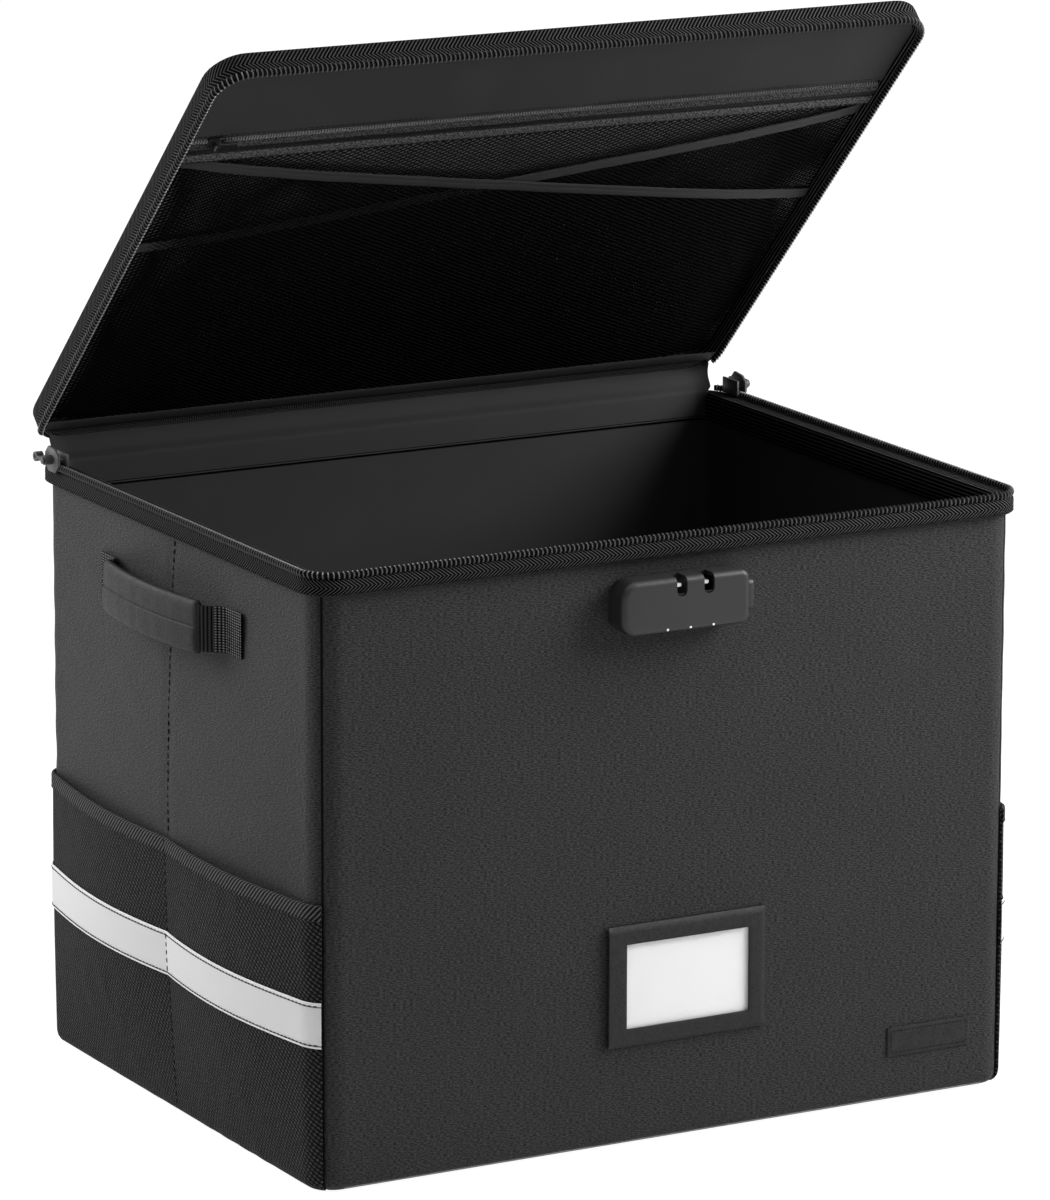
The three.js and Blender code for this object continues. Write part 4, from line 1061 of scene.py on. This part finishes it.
def sew_pocket_zip():
    reaches = (245.6, 246.0, 250.0, 254.2, 254.7, 255.2, 259.0, 263.0)
    heights = (7.6, 7.2, 6.9, 6.95, 7.3, 6.95, 6.9, 7.2)
    look = ("zip_tape", "zip_tape", ["pocket_zip_tape"])
    across_lid("pocket_zip_tape_cloth", reaches, heights, 0.6 * MM, *look, 23)
    reaches = (266.6, 266.9, 269.5, 272.0, 280.0, 290.0, 300.0, 310.0, 318.0, 321.8, 322.4)
    heights = (7.8, 7.3, 7.0, 7.3, 7.5, 7.8, 7.9, 7.8, 7.5, 7.0, 7.2)
    look = ("lining", "lining_cloth", ["pocket_top_panel"])
    across_lid("pocket_top_cloth", reaches, heights, 0.6 * MM, *look, 24, wave=0.5 * MM, steps=80)
    inward = lid_direction(0.0, 0.0, -1.0)
    x = np.linspace(-HALF_X + 1.5 * MM, HALF_X - 1.5 * MM, 90)
    unit = tooth_unit(2.4 * MM, 2.0 * MM, 0.75 * MM, 0.15)
    places = frames_along(lid_points(x, 264.8 * MM, 7.3 * MM), inward, sizes().small_pitch)
    dress(repeat("pocket_zip_teeth", unit, places), "small_coil", "lid", ["pocket_zip_coil"])
    x = np.linspace(-HALF_X + 1 * MM, HALF_X - 1 * MM, 40)
    lines = [(lid_points(x, reach * MM, 6.9 * MM), inward) for reach in (247.2, 269.0)]
    stitches("pocket_zip_stitches", lines, "lid", ZIP_STITCH)


def sew_hinge():
    """Cloth from the back of the rim to the foot of the lid"""
    inset = np.array([8.6, 8.5, 8.1, 5.5, 2.5]) * MM
    rise = np.array([306.0, 313.0, 319.7, 321.0, 322.4]) * MM
    lid_inset = np.array([0.9, 0.6, 0.3]) * MM
    lid_rise = np.array([1.0, 3.0, 4.3]) * MM
    bare_from = 0.3222
    turn = np.radians(np.linspace(62, 8, 7))
    angles = np.concatenate([turn, np.zeros(41), -turn[::-1]])
    runs = np.concatenate([-np.ones(7), np.linspace(-1, 1, 41), np.ones(7)])
    rows = []
    for angle, run in zip(angles, runs):
        centre = np.array([run * (HALF_X - CORNER), HALF_Y - CORNER])
        out = np.array([-math.sin(angle), math.cos(angle)])
        low, high = (
            centre + out * np.maximum(CORNER - depth, 2 * MM)[:, None] for depth in (inset, lid_inset)
        )
        line = np.concatenate([upright(*low.T, rise), lid_closed(*high.T, lid_rise)])
        at = run_lengths(line)
        fine = np.linspace(0, at[-1], 34)
        soft = np.stack([np.interp(fine, at, line[:, axis]) for axis in range(3)], axis=1)
        for _ in range(3):
            soft[1:-1] = (soft[:-2] + 2 * soft[1:-1] + soft[2:]) / 4
        bare = np.clip((soft[:, 2] - bare_from) / (soft[-1, 2] - bare_from), 0, 1)
        soft[:, 1] += np.sin(np.pi * bare) * abs(angle) * 0.4 * (HALF_Y - 1 * MM - soft[:, 1])
        ripple = waves(run * 1.6, 0.2, 0.3 * MM, 31) * np.sin(np.pi * fine / fine[-1]) * (angle == 0)
        rows.append(soft + ripple[:, None] * (0, 1, 1))
    look = ("lining", "lining_cloth", None, ["hinge_band"])
    piece = cloth("hinge_cloth", np.array(rows), 0.7 * MM, *look, ["back_board"])
    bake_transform(piece)


# Side pockets
def pocket_edge(share):
    return sizes().pocket_top - sizes().pocket_sag * np.sin(np.pi * np.abs(share))


def pocket_out(share, z):
    """Stand-off of the pocket cloth's outer face."""
    rise = np.clip(np.asarray(z) / sizes().pocket_top, 0, 1)
    out = sizes().pocket_bulge * np.sin(np.pi * rise) + sizes().pocket_mouth * rise
    return 1.5 * MM + out * np.abs(np.sin(np.pi * np.asarray(share))) ** 0.92


# Profiles of the hem and the strip: up from the pocket's edge or the strip's foot, and outwards
POCKET_HEM = (
    (-8.0, 0.1), (-7.7, 0.6), (-4.0, 0.75), (-0.8, 0.75), (0.1, 0.5), (0.6, -0.2), (0.5, -1.0),
    (-0.3, -1.5), (-6.0, -1.5),
)

STRIP_PROFILE = (
    (0.0, 0.45), (0.25, 0.85), (0.8, 1.0), (1.3, 0.95), (1.7, 0.75), (2.1, 0.85), (4.0, 0.9), (8.0, 0.9),
    (12.0, 0.9), (16.0, 0.9), (20.0, 0.9), (21.9, 0.85), (22.3, 0.75), (22.7, 0.95), (23.2, 1.0),
    (23.75, 0.85), (24.0, 0.45),
)


def sew_side_pockets():
    share = np.unique(np.concatenate([wall_shares(), [-0.03, -0.015, -0.006, 0.006, 0.015, 0.03]]))
    for name, wall, _ in SIDES:
        sew_side_pocket(name, wall, share)
        sew_strip(name, wall, share)


def sew_side_pocket(name, wall, share):
    top, low = sizes().pocket_top, sizes().strip_foot
    edge, outward = pocket_edge(share), wall_outward(wall, share)
    v = np.concatenate([[0, 0.004, 0.012, 0.024, 0.04], np.linspace(0.06, 1, 26)])
    s, t = np.meshgrid(share, v, indexing="ij")
    z = t * edge[:, None]
    ripple = waves(s * 2, z * 9, 0.35 * MM, 40 + wall) * np.sin(np.pi * np.abs(s))
    points = wall_points(wall, s, z, pocket_out(s, z) + ripple)
    look = ("pocket", "pocket_cloth", "box", [f"{name}_pocket"])
    cloth(f"{name}_pocket_cloth", points, sizes().cloth, *look, [f"{name}_cloth"])

    rise, lift = np.array(POCKET_HEM).T * MM
    z = edge[:, None] + rise
    out = pocket_out(share[:, None], np.minimum(z, edge[:, None])) + lift
    points = wall_points(wall, share[:, None], z, np.maximum(out, 0.4 * MM))
    look = ("hem", "binding", "box", [f"{name}_pocket_binding"])
    cloth(f"{name}_pocket_hem", points, 0.35 * MM, *look, [f"{name}_pocket_cloth"])
    line = wall_points(wall, share, edge - 7.0 * MM, pocket_out(share, top - 7 * MM) + 0.75 * MM)
    stitches(f"{name}_hem_stitches", [(line, outward)], "box", HEM_STITCH)

    z = np.linspace(5 * MM, top - 1 * MM, 50)
    on_strip = np.where((z > low) & (z < low + sizes().strip_width), 0.9 * MM, 0.0)
    on_hem = np.where(z > top - 8 * MM, 0.6 * MM, 0.0)
    line = wall_points(wall, 0.0, z, 1.5 * MM + on_strip + on_hem)
    stitches(f"{name}_pocket_seam_stitches", [(line, wall_outward(wall, 0.0))], "box", SEAM_STITCH)


def sew_strip(name, wall, share):
    low, high = sizes().strip_foot, sizes().strip_foot + sizes().strip_width
    rise, lift = np.array(STRIP_PROFILE).T * MM
    z = low + rise + 0 * share[:, None]
    points = wall_points(wall, share[:, None], z, pocket_out(share[:, None], z) + lift)
    look = ("strip", "reflective_strip", "box", [f"{name}_reflective_strip"])
    cloth(f"{name}_strip", points, 0.4 * MM, *look, [f"{name}_pocket_cloth"])
    lines = []
    for z in (low + 1.8 * MM, high - 1.8 * MM):
        points = wall_points(wall, share, z, pocket_out(share, z) + 0.95 * MM)
        lines.append((points, wall_outward(wall, share)))
    stitches(f"{name}_strip_stitches", lines, "box", STRIP_STITCH)


# Handles
# Height of the handles' middle line, half the length of the padding and half its height
HANDLE_Z = 274 * MM
GRIP_HALF = 54 * MM
GRIP_TALL = 14 * MM


def grip_stand(y):
    return (13 + 5 * (1 - (y / GRIP_HALF) ** 2)) * MM


def make_handles():
    ends = np.array([0.975, 0.99, 0.998, 1.0])
    sweep = np.concatenate([-ends[::-1], np.linspace(-0.95, 0.95, 33), ends])
    scale = np.concatenate([[0.0, 0.72, 0.9, 0.985], np.ones(33), [0.985, 0.9, 0.72, 0.0]])
    rise = np.sin(np.linspace(-math.pi / 2, math.pi / 2, 25))
    seam = np.array([-0.5, -0.2, 0.0, 0.15, 0.3, 0.45, 0.6, 0.9, 1.4]) / 14
    face = np.unique(np.concatenate([rise, seam]))
    tall = np.concatenate([face, rise[::-1][1:]])[:, None] * GRIP_TALL
    outer = np.arange(len(tall))[:, None] < len(face)
    thick = np.where(outer, 1, -1) * 2.75 * MM * (1 - np.abs(tall / GRIP_TALL) ** 5) ** 0.42
    flap = 0.55 * MM * (1 - 1 / (1 + np.exp(-(tall - 0.2 * MM) / (0.08 * MM))))
    groove = ridge(tall - 0.7 * MM, 0.4, 0.35)
    thick = thick + (flap - groove) * outer * (np.abs(tall) < GRIP_TALL - 1 * MM)
    y = sweep * GRIP_HALF
    stand = grip_stand(y) + thick * scale + waves(sweep * 3, 0.4, 0.25 * MM, 50) * outer
    x = HALF_X + np.where(scale == 0, grip_stand(y), stand)
    z = HANDLE_Z + tall * (0.35 + 0.65 * scale) * np.where(scale == 0, 0, 1)
    for name, wall, side in SIDES:
        table = upright(side * x, y, z)[::-side]
        piece = sheet(f"{name}_grip_wrap", table, closed=True, degrees=50)
        dress(piece, "leather", f"{name}_grip", [f"{name}_grip"])
        for place, end in (("front", -1), ("back", 1)):
            make_webbing(name, wall, side, place, end)


def make_webbing(name, wall, side, place, end):
    """A webbing end that is sewn to the wall and curves out to the grip"""
    sewn, bend, under = np.linspace(81.5, 66, 12), np.linspace(65, 54, 23)[:-1], np.linspace(54, 48, 6)
    reach = np.concatenate([sewn, bend, under]) * MM
    rise = np.clip((66 * MM - reach) / (12 * MM), 0, 1)
    rise = rise * rise * (3 - 2 * rise)
    to_share = (1 - ARC_SHARE) / (HALF_Y - CORNER)
    on_wall = 1.6 * MM + bow(wall, reach * to_share, HANDLE_Z)
    stand = on_wall * (1 - rise) + (grip_stand(np.minimum(reach, GRIP_HALF)) + 0.8 * MM) * rise
    rows = np.array([-12, -11.6, -8, -4, 0, 4, 8, 11.6, 12]) * MM
    edge = np.array([-0.3, 0, 0, 0, 0, 0, 0, 0, -0.3]) * MM
    table = upright(side * (HALF_X + stand[:, None] + edge), end * reach[:, None], HANDLE_Z + rows)
    table = table[:, :: -side * end]
    look = ("webbing", "webbing", None, [f"{name}_webbing_{place}"])
    piece = cloth(f"{name}_handle_webbing_{place}", table, 1.2 * MM, *look, [f"{name}_cloth"])
    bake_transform(piece)
    z = np.linspace(HANDLE_Z - 11 * MM, HANDLE_Z + 11 * MM, 8)
    lines = []
    for at in (80 * MM, 69 * MM):
        x = HALF_X + 1.7 * MM + bow(wall, at * to_share, z)
        lines.append((upright(side * x, end * at, z), (side, 0, 0)))
    stitches(f"{name}_webbing_stitches_{place}", lines, "box", WEBBING_STITCH)


# Card holder and patch
def rail(first, second, third, fourth, steps):
    """Places from the first to the fourth, with steps of their own between the second and the third."""
    low, high = np.linspace(first, second, 9), np.linspace(third, fourth, 9)
    return np.unique(np.concatenate([low, np.linspace(second, third, steps), high]))


def make_card_holder():
    low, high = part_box("label_frame")
    film_low, film_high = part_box("label_window")
    lap = 4 * MM
    x0, x1, z0, z1 = film_low.x + lap, film_high.x - lap, film_low.z + lap, film_high.z - lap
    xs, zs = rail(low.x, x0, x1, high.x, 31), rail(low.z, z0, z1, high.z, 21)
    x, z = np.meshgrid(xs, zs, indexing="ij")
    edge = np.minimum(np.minimum(high.x - x, high.z - z), z - low.z)
    drop = ridge(np.clip(edge, 0, 1), 1.9, 1.6) * (x > low.x + 0.5 * MM)
    beside = np.abs(x - (x0 + x1) / 2) - (x1 - x0) / 2
    above = np.abs(z - (z0 + z1) / 2) - (z1 - z0) / 2
    lip = ridge(np.maximum(beside, above), 0.3, 1)
    y = low.y + 0.2 * MM + drop + lip + waves(x * 9, z * 9, 0.12 * MM, 60)
    piece = sheet("card_holder_frame", upright(x, y, z))
    select(piece, "FACE", lambda face: x0 < face.center.x < x1 and z0 < face.center.z < z1)
    bpy.ops.mesh.delete(type="FACE")
    bpy.ops.object.mode_set(mode="OBJECT")
    modify(piece, "SOLIDIFY", thickness=1.0 * MM, offset=-1.0, use_even_offset=True)
    bevel(piece, 0.25 * MM, 50)
    dress(smooth(piece, 50), "leather", "box", ["label_frame"])
    paint_node("label_card", "card")
    paint_node("label_window", "film")


def make_patch():
    low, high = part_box("front_patch")
    x, z = np.meshgrid(np.linspace(low.x, high.x, 41), np.linspace(low.z, high.z, 17), indexing="ij")
    edge = np.minimum(np.minimum(high.x - x, x - low.x), np.minimum(high.z - z, z - low.z))
    inset = 2 * MM
    relief = ridge(edge, 0.5, 0.9) + ridge(edge - inset, 0.12, 0.6)
    y = low.y + 0.1 * MM
    look = ("leather", "leather_cloth", "box", ["front_patch"])
    size = (high.x - low.x, high.z - low.z)
    cloth("leather_patch", upright(x, y + relief, z), 0.6 * MM, *look, ["front_cloth"], "laid", size)
    x0, x1, z0, z1 = low.x + inset, high.x - inset, low.z + inset, high.z - inset
    corners = [(x0, y, z0), (x1, y, z0), (x1, y, z1), (x0, y, z1), (x0, y, z0)]
    lines = [(pair, (0, -1, 0)) for pair in zip(corners, corners[1:])]
    stitches("patch_stitches", lines, "box", PATCH_STITCH)


# Hard pieces
def soften(node, name, paint, width):
    """A copy of a hard node with its edges rounded, on the body of the same name"""
    piece = place_object(name, frame["nodes"][node].data.copy())
    piece.data.name = name
    edit(
        piece,
        (bpy.ops.mesh.remove_doubles, {"threshold": 0.002 * MM}),
        (bpy.ops.mesh.dissolve_limited, {"angle_limit": math.radians(1)}),
    )
    bevel(piece, width * MM, 35)
    modify(piece, "TRIANGULATE")
    return dress(smooth(piece, 30), paint, node, [node])


def block(low, high):
    """A box between two corners, in millimetres"""
    deselect()
    centre = [(a + b) / 2 * MM for a, b in zip(low, high)]
    scale = [(b - a) * MM for a, b in zip(low, high)]
    bpy.ops.mesh.primitive_cube_add(size=1, location=centre, scale=scale)
    bpy.ops.object.transform_apply(location=True, rotation=True, scale=True)
    return bpy.context.active_object


def round_edges(piece, radius, segments, wanted):
    """Rounds the edges whose middle and direction pass a test."""

    def passes(edge):
        a, b = (piece.data.vertices[i].co for i in edge.vertices)
        return wanted((a + b) / 2 / MM, (b - a).normalized())

    select(piece, "EDGE", passes)
    bpy.ops.mesh.bevel(offset=radius * MM, segments=segments, profile=0.5, affect="EDGES")
    bpy.ops.object.mode_set(mode="OBJECT")
    return piece


def carve(piece, cutter):
    modify(piece, "BOOLEAN", operation="DIFFERENCE", solver="EXACT", object=cutter)
    bpy.data.objects.remove(cutter)


# Measures of the lock, in millimetres: the middles and the foot of its two slots, and the latch's teeth
SLOT_MIDDLES = (-4.5, 11.5)
SLOT_FOOT = 291.2
TOOTH_SPANS = ((-12.0, -3.6), (4.0, 12.4))


def box_mm(node):
    return [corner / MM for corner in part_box(node)]


def make_lock_case():
    """The lock's moulded case with its slots, dial windows and button recess"""
    low, high = box_mm("lock_housing")
    case = block(low, high)
    round_edges(case, 9, 10, lambda m, d: abs(d.y) > 0.9 and m.x < low.x + 1)
    round_edges(case, 5, 8, lambda m, d: abs(d.y) > 0.9 and m.x > high.x - 1)
    round_edges(case, 3.4, 7, lambda m, d: m.y < low.y + 0.01 and abs(d.y) < 0.1)
    carve(case, block((-35, low.y + 2, low.z + 2), (25.6, high.y + 1, high.z - 2)))
    for k in DIALS:
        a, b = box_mm(f"lock_dial_{k}")
        carve(case, block((a.x - 0.4, a.y - 0.4, low.z - 1), (b.x + 0.4, b.y + 0.4, low.z + 3)))
    for middle in SLOT_MIDDLES:
        slot = block((middle - 3, low.y - 1, SLOT_FOOT), (middle + 3, high.y - 3.5, high.z + 1))
        carve(case, round_edges(slot, 2.9, 6, lambda m, d: abs(d.y) > 0.9 and m.z < SLOT_FOOT + 1))
    recess = block((29.2, -170.9, 278.6), (high.x + 1, -161.7, 295.4))
    carve(case, round_edges(recess, 3.4, 6, lambda m, d: abs(d.x) > 0.9))
    a, b = box_mm("lock_spring")
    carve(case, block((25, a.y - 0.5, a.z - 0.5), (high.x, b.y + 0.5, b.z + 0.5)))
    case.name = case.data.name = "lock_case"
    dress(smooth(case, 35), "plastic", "box", ["lock_housing"])


def make_lock():
    make_lock_case()
    housing_low, housing_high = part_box("lock_housing")
    latch = soften("lock_latch", "lock_latch_bar", "steel", 0.2)
    latch.data.materials.append(finish("plastic"))
    button = housing_high.x - 6 * MM
    for face in latch.data.polygons:
        face.material_index = int(face.center.x > button)
    places = []
    for k in DIALS:
        make_dial(k)
        low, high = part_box(f"lock_dial_{k}")
        spot = np.eye(4)
        spot[:3, 3] = ((low.x + high.x) / 2, housing_low.y + 0.3 * MM, low.z + 2.8 * MM)
        places.append(spot)
    for number, (a, b) in enumerate(TOOTH_SPANS, 1):
        tooth = bevel(block((a, -171.0, 295.8), (b, -166.0, 297.6)), 0.3 * MM, 30)
        tooth.name = tooth.data.name = f"lock_latch_tooth_{number}"
        dress(smooth(tooth), "steel", "lock_latch")
    paint_node("lock_chassis", "dial")
    make_spring()
    unit = small_ball(20, 12, 0.7 * MM, (1, 0.35, 1))
    dress(repeat("lock_index_dots", unit, places), "dot", "box")


def make_spring():
    """The latch's coil spring, which is squashed as the button is pressed"""
    low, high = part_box("lock_spring")
    wire = 0.24 * MM
    turn = np.linspace(0, 5 * math.tau, 121)
    middle = (low + high) / 2
    centre = upright(np.linspace(low.x + wire, high.x - wire, 121), middle.y, middle.z)
    reach = (high.y - low.y) / 2 - wire
    points = centre + reach * upright(0, np.cos(turn), np.sin(turn))
    piece = cord_along("lock_coil_spring", points, centre, wire, wire)
    dress(piece, "steel", "box", ["lock_spring"])
    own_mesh(piece)


def make_dial(k):
    """A dial with ten finger ridges"""
    node = f"lock_dial_{k}"
    low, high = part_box(node)
    centre = (low + high) / 2
    turn = np.linspace(0, 2 * math.pi, 81)[:, None]
    radius = (high.z - low.z) / 2 - 0.42 * MM * (0.5 + 0.5 * np.cos(turn * 10)) ** 2
    across = np.array([-1, -1, -0.94, -0.8, 0.8, 0.94, 1, 1]) * (high.x - low.x) / 2
    scale = np.array([0.34, 0.93, 0.975, 1, 1, 0.975, 0.93, 0.34])
    y, z = centre.y + radius * scale * np.cos(turn), centre.z + radius * scale * np.sin(turn)
    piece = sheet(f"dial_{k}", upright(centre.x + across, y, z), closed=True, degrees=35)
    dress(piece, "dial", node, [node])


def make_sliders():
    for name, _, _ in SIDES:
        soften(f"{name}_slider", f"{name}_zip_slider", "slider", 0.3)
        soften(f"{name}_pull", f"{name}_zip_pull", "slider", 0.35)
    soften("pocket_slider", "pocket_zip_slider", "dark_metal", 0.2)
    soften("pocket_pull", "pocket_zip_pull", "dark_metal", 0.2)


def finish_boards():
    for name in frame["nodes"]:
        if "board" in name and name != "base_board":
            paint_node(name, "board")


# Stage, lamps and camera
def lamp(name, place, target, side, watts):
    data = bpy.data.lights.new(name, "AREA")
    data.shape = "RECTANGLE"
    data.size = data.size_y = side
    data.energy = watts
    item = place_object(name, data)
    item.location = place
    item.rotation_euler = (Vector(target) - Vector(place)).to_track_quat("-Z", "Y").to_euler()


def mix_shaders(tree, share, first, second, output):
    """Sends two shaders, mixed by a share, to the output."""
    mix = tree.nodes.new("ShaderNodeMixShader")
    for slot, socket in zip(mix.inputs, (share, first.outputs[0], second.outputs[0])):
        tree.links.new(socket, slot)
    tree.links.new(mix.outputs[0], tree.nodes[output].inputs["Surface"])


def light_world(scene):
    """White to the camera, and a dim even light on everything else"""
    scene.world = bpy.data.worlds.new("studio")
    scene.world.use_nodes = True
    tree = scene.world.node_tree
    dim, white = tree.nodes["Background"], tree.nodes.new("ShaderNodeBackground")
    for node, strength in ((dim, 0.16), (white, 1.0)):
        node.inputs["Color"].default_value = (1, 1, 1, 1)
        node.inputs["Strength"].default_value = strength
    path = tree.nodes.new("ShaderNodeLightPath")
    mix_shaders(tree, path.outputs["Is Camera Ray"], dim, white, "World Output")


def lay_floor():
    """Pale paper that glows to the camera and in reflections"""
    deselect()
    bpy.ops.mesh.primitive_plane_add(size=30, location=(0, 0, -0.2 * MM))
    floor = bpy.context.active_object
    floor.name = "studio_floor"
    f = Finish("floor_paper", 0.9, Base_Color=(0.8, 0.8, 0.8))
    path = f.node("LightPath")
    seen = f.out(path, "Is Camera Ray").most(f.out(path, "Is Glossy Ray")) * 0.8
    mix_shaders(f.tree, seen.socket, f.shader, f.node("Emission", Strength=1.2), "Material Output")
    floor.data.materials.append(f.material)


def set_stage():
    scene = bpy.context.scene
    scene.view_settings.view_transform = "Standard"
    light_world(scene)
    lay_floor()
    lamp("left", (-0.95, 1.0, 0.9), (-0.1, 0, 0.22), 1.0, 19.6)
    lamp("right", (0.82, -0.52, 0.80), (0.15, -0.15, 0.26), 0.6, 17.0)
    lamp("top", (-0.1, -0.6, 2.2), (0, 0, 0.3), 1.6, 8)
    sky = bpy.data.lights.new("sky", "SUN")
    sky.energy = 1.0
    sky.angle = math.radians(80)
    place_object("sky", sky)
    data = bpy.data.cameras.new("camera")
    data.lens = 212.45
    data.sensor_width = 36
    camera = place_object("camera", data)
    camera.location = (-1.76033, -3.18903, 1.11022)
    camera.rotation_euler = [math.radians(angle) for angle in (76.757, -0.136, -28.869)]
    scene.camera = camera


class RECORDBOX_OT_shell(bpy.types.Operator):
    """Sew the outer cloth and its corner and side seams"""

    bl_idname = "record_box.shell"
    bl_label = "Outer Cloth"

    def execute(self, context):
        sew_shell()
        sew_corner_welts()
        sew_side_seams()
        finish_boards()
        return {"FINISHED"}


class RECORDBOX_OT_lining(bpy.types.Operator):
    """Sew the lining and cover the base board"""

    bl_idname = "record_box.lining"
    bl_label = "Lining"

    def execute(self, context):
        sew_lining()
        cover_base_board()
        return {"FINISHED"}


class RECORDBOX_OT_rim(bpy.types.Operator):
    """Sew the rim's tape and its half of the zip"""

    bl_idname = "record_box.rim"
    bl_label = "Rim and Zip"

    def execute(self, context):
        sew_rim()
        return {"FINISHED"}


class RECORDBOX_OT_lid(bpy.types.Operator):
    """Sew the lid's cloth, lining, band and half of the zip"""

    bl_idname = "record_box.lid"
    bl_label = "Lid"

    def execute(self, context):
        sew_lid_shell()
        sew_lid_band()
        sew_hinge()
        return {"FINISHED"}


class RECORDBOX_OT_lid_pockets(bpy.types.Operator):
    """Sew the nets, straps and zip inside the lid"""

    bl_idname = "record_box.lid_pockets"
    bl_label = "Lid Pockets"

    def execute(self, context):
        sew_lid_pockets()
        sew_pocket_zip()
        return {"FINISHED"}


class RECORDBOX_OT_side_pockets(bpy.types.Operator):
    """Sew the side pockets with their hems and reflective strips"""

    bl_idname = "record_box.side_pockets"
    bl_label = "Side Pockets"

    def execute(self, context):
        sew_side_pockets()
        return {"FINISHED"}


class RECORDBOX_OT_handles(bpy.types.Operator):
    """Make the grips and sew on their webbing"""

    bl_idname = "record_box.handles"
    bl_label = "Handles"

    def execute(self, context):
        make_handles()
        return {"FINISHED"}


class RECORDBOX_OT_card_holder(bpy.types.Operator):
    """Make the card holder and the bare patch"""

    bl_idname = "record_box.card_holder"
    bl_label = "Card Holder and Patch"

    def execute(self, context):
        make_card_holder()
        make_patch()
        return {"FINISHED"}


class RECORDBOX_OT_lock(bpy.types.Operator):
    """Make the lock with its dials and dots"""

    bl_idname = "record_box.lock"
    bl_label = "Lock"

    def execute(self, context):
        make_lock()
        return {"FINISHED"}


class RECORDBOX_OT_sliders(bpy.types.Operator):
    """Round the edges of the sliders and their pulls"""

    bl_idname = "record_box.sliders"
    bl_label = "Sliders"

    def execute(self, context):
        make_sliders()
        return {"FINISHED"}


class RECORDBOX_OT_stage(bpy.types.Operator):
    """Set the floor, the lamps and the camera"""

    bl_idname = "record_box.stage"
    bl_label = "Stage"

    def execute(self, context):
        set_stage()
        return {"FINISHED"}


OPERATORS = (
    RECORDBOX_OT_stage,
    RECORDBOX_OT_shell,
    RECORDBOX_OT_lining,
    RECORDBOX_OT_rim,
    RECORDBOX_OT_lid,
    RECORDBOX_OT_lid_pockets,
    RECORDBOX_OT_side_pockets,
    RECORDBOX_OT_handles,
    RECORDBOX_OT_card_holder,
    RECORDBOX_OT_lock,
    RECORDBOX_OT_sliders,
)


class RECORDBOX_PT_panel(bpy.types.Panel):
    """Lists the steps of the box"""

    bl_label = "Record Box"
    bl_idname = "RECORDBOX_PT_panel"
    bl_space_type = "VIEW_3D"
    bl_region_type = "UI"
    bl_category = "Record Box"

    def draw(self, context):
        for operator in OPERATORS:
            self.layout.operator(operator.bl_idname)
        for group in (context.scene.record_box_sizes, context.scene.record_box_colours):
            column = self.layout.column()
            for key in group.__annotations__:
                column.prop(group, key)


CLASSES = (RecordBoxSizes, RecordBoxColours, *OPERATORS, RECORDBOX_PT_panel)


def register():
    for item in CLASSES:
        bpy.utils.register_class(item)
    bpy.types.Scene.record_box_sizes = bpy.props.PointerProperty(type=RecordBoxSizes)
    bpy.types.Scene.record_box_colours = bpy.props.PointerProperty(type=RecordBoxColours)


def unregister():
    del bpy.types.Scene.record_box_colours
    del bpy.types.Scene.record_box_sizes
    for item in reversed(CLASSES):
        bpy.utils.unregister_class(item)


def main():
    register()
    for operator in OPERATORS:
        group, name = operator.bl_idname.split(".")
        getattr(getattr(bpy.ops, group), name)()


if __name__ == "__main__":
    main()
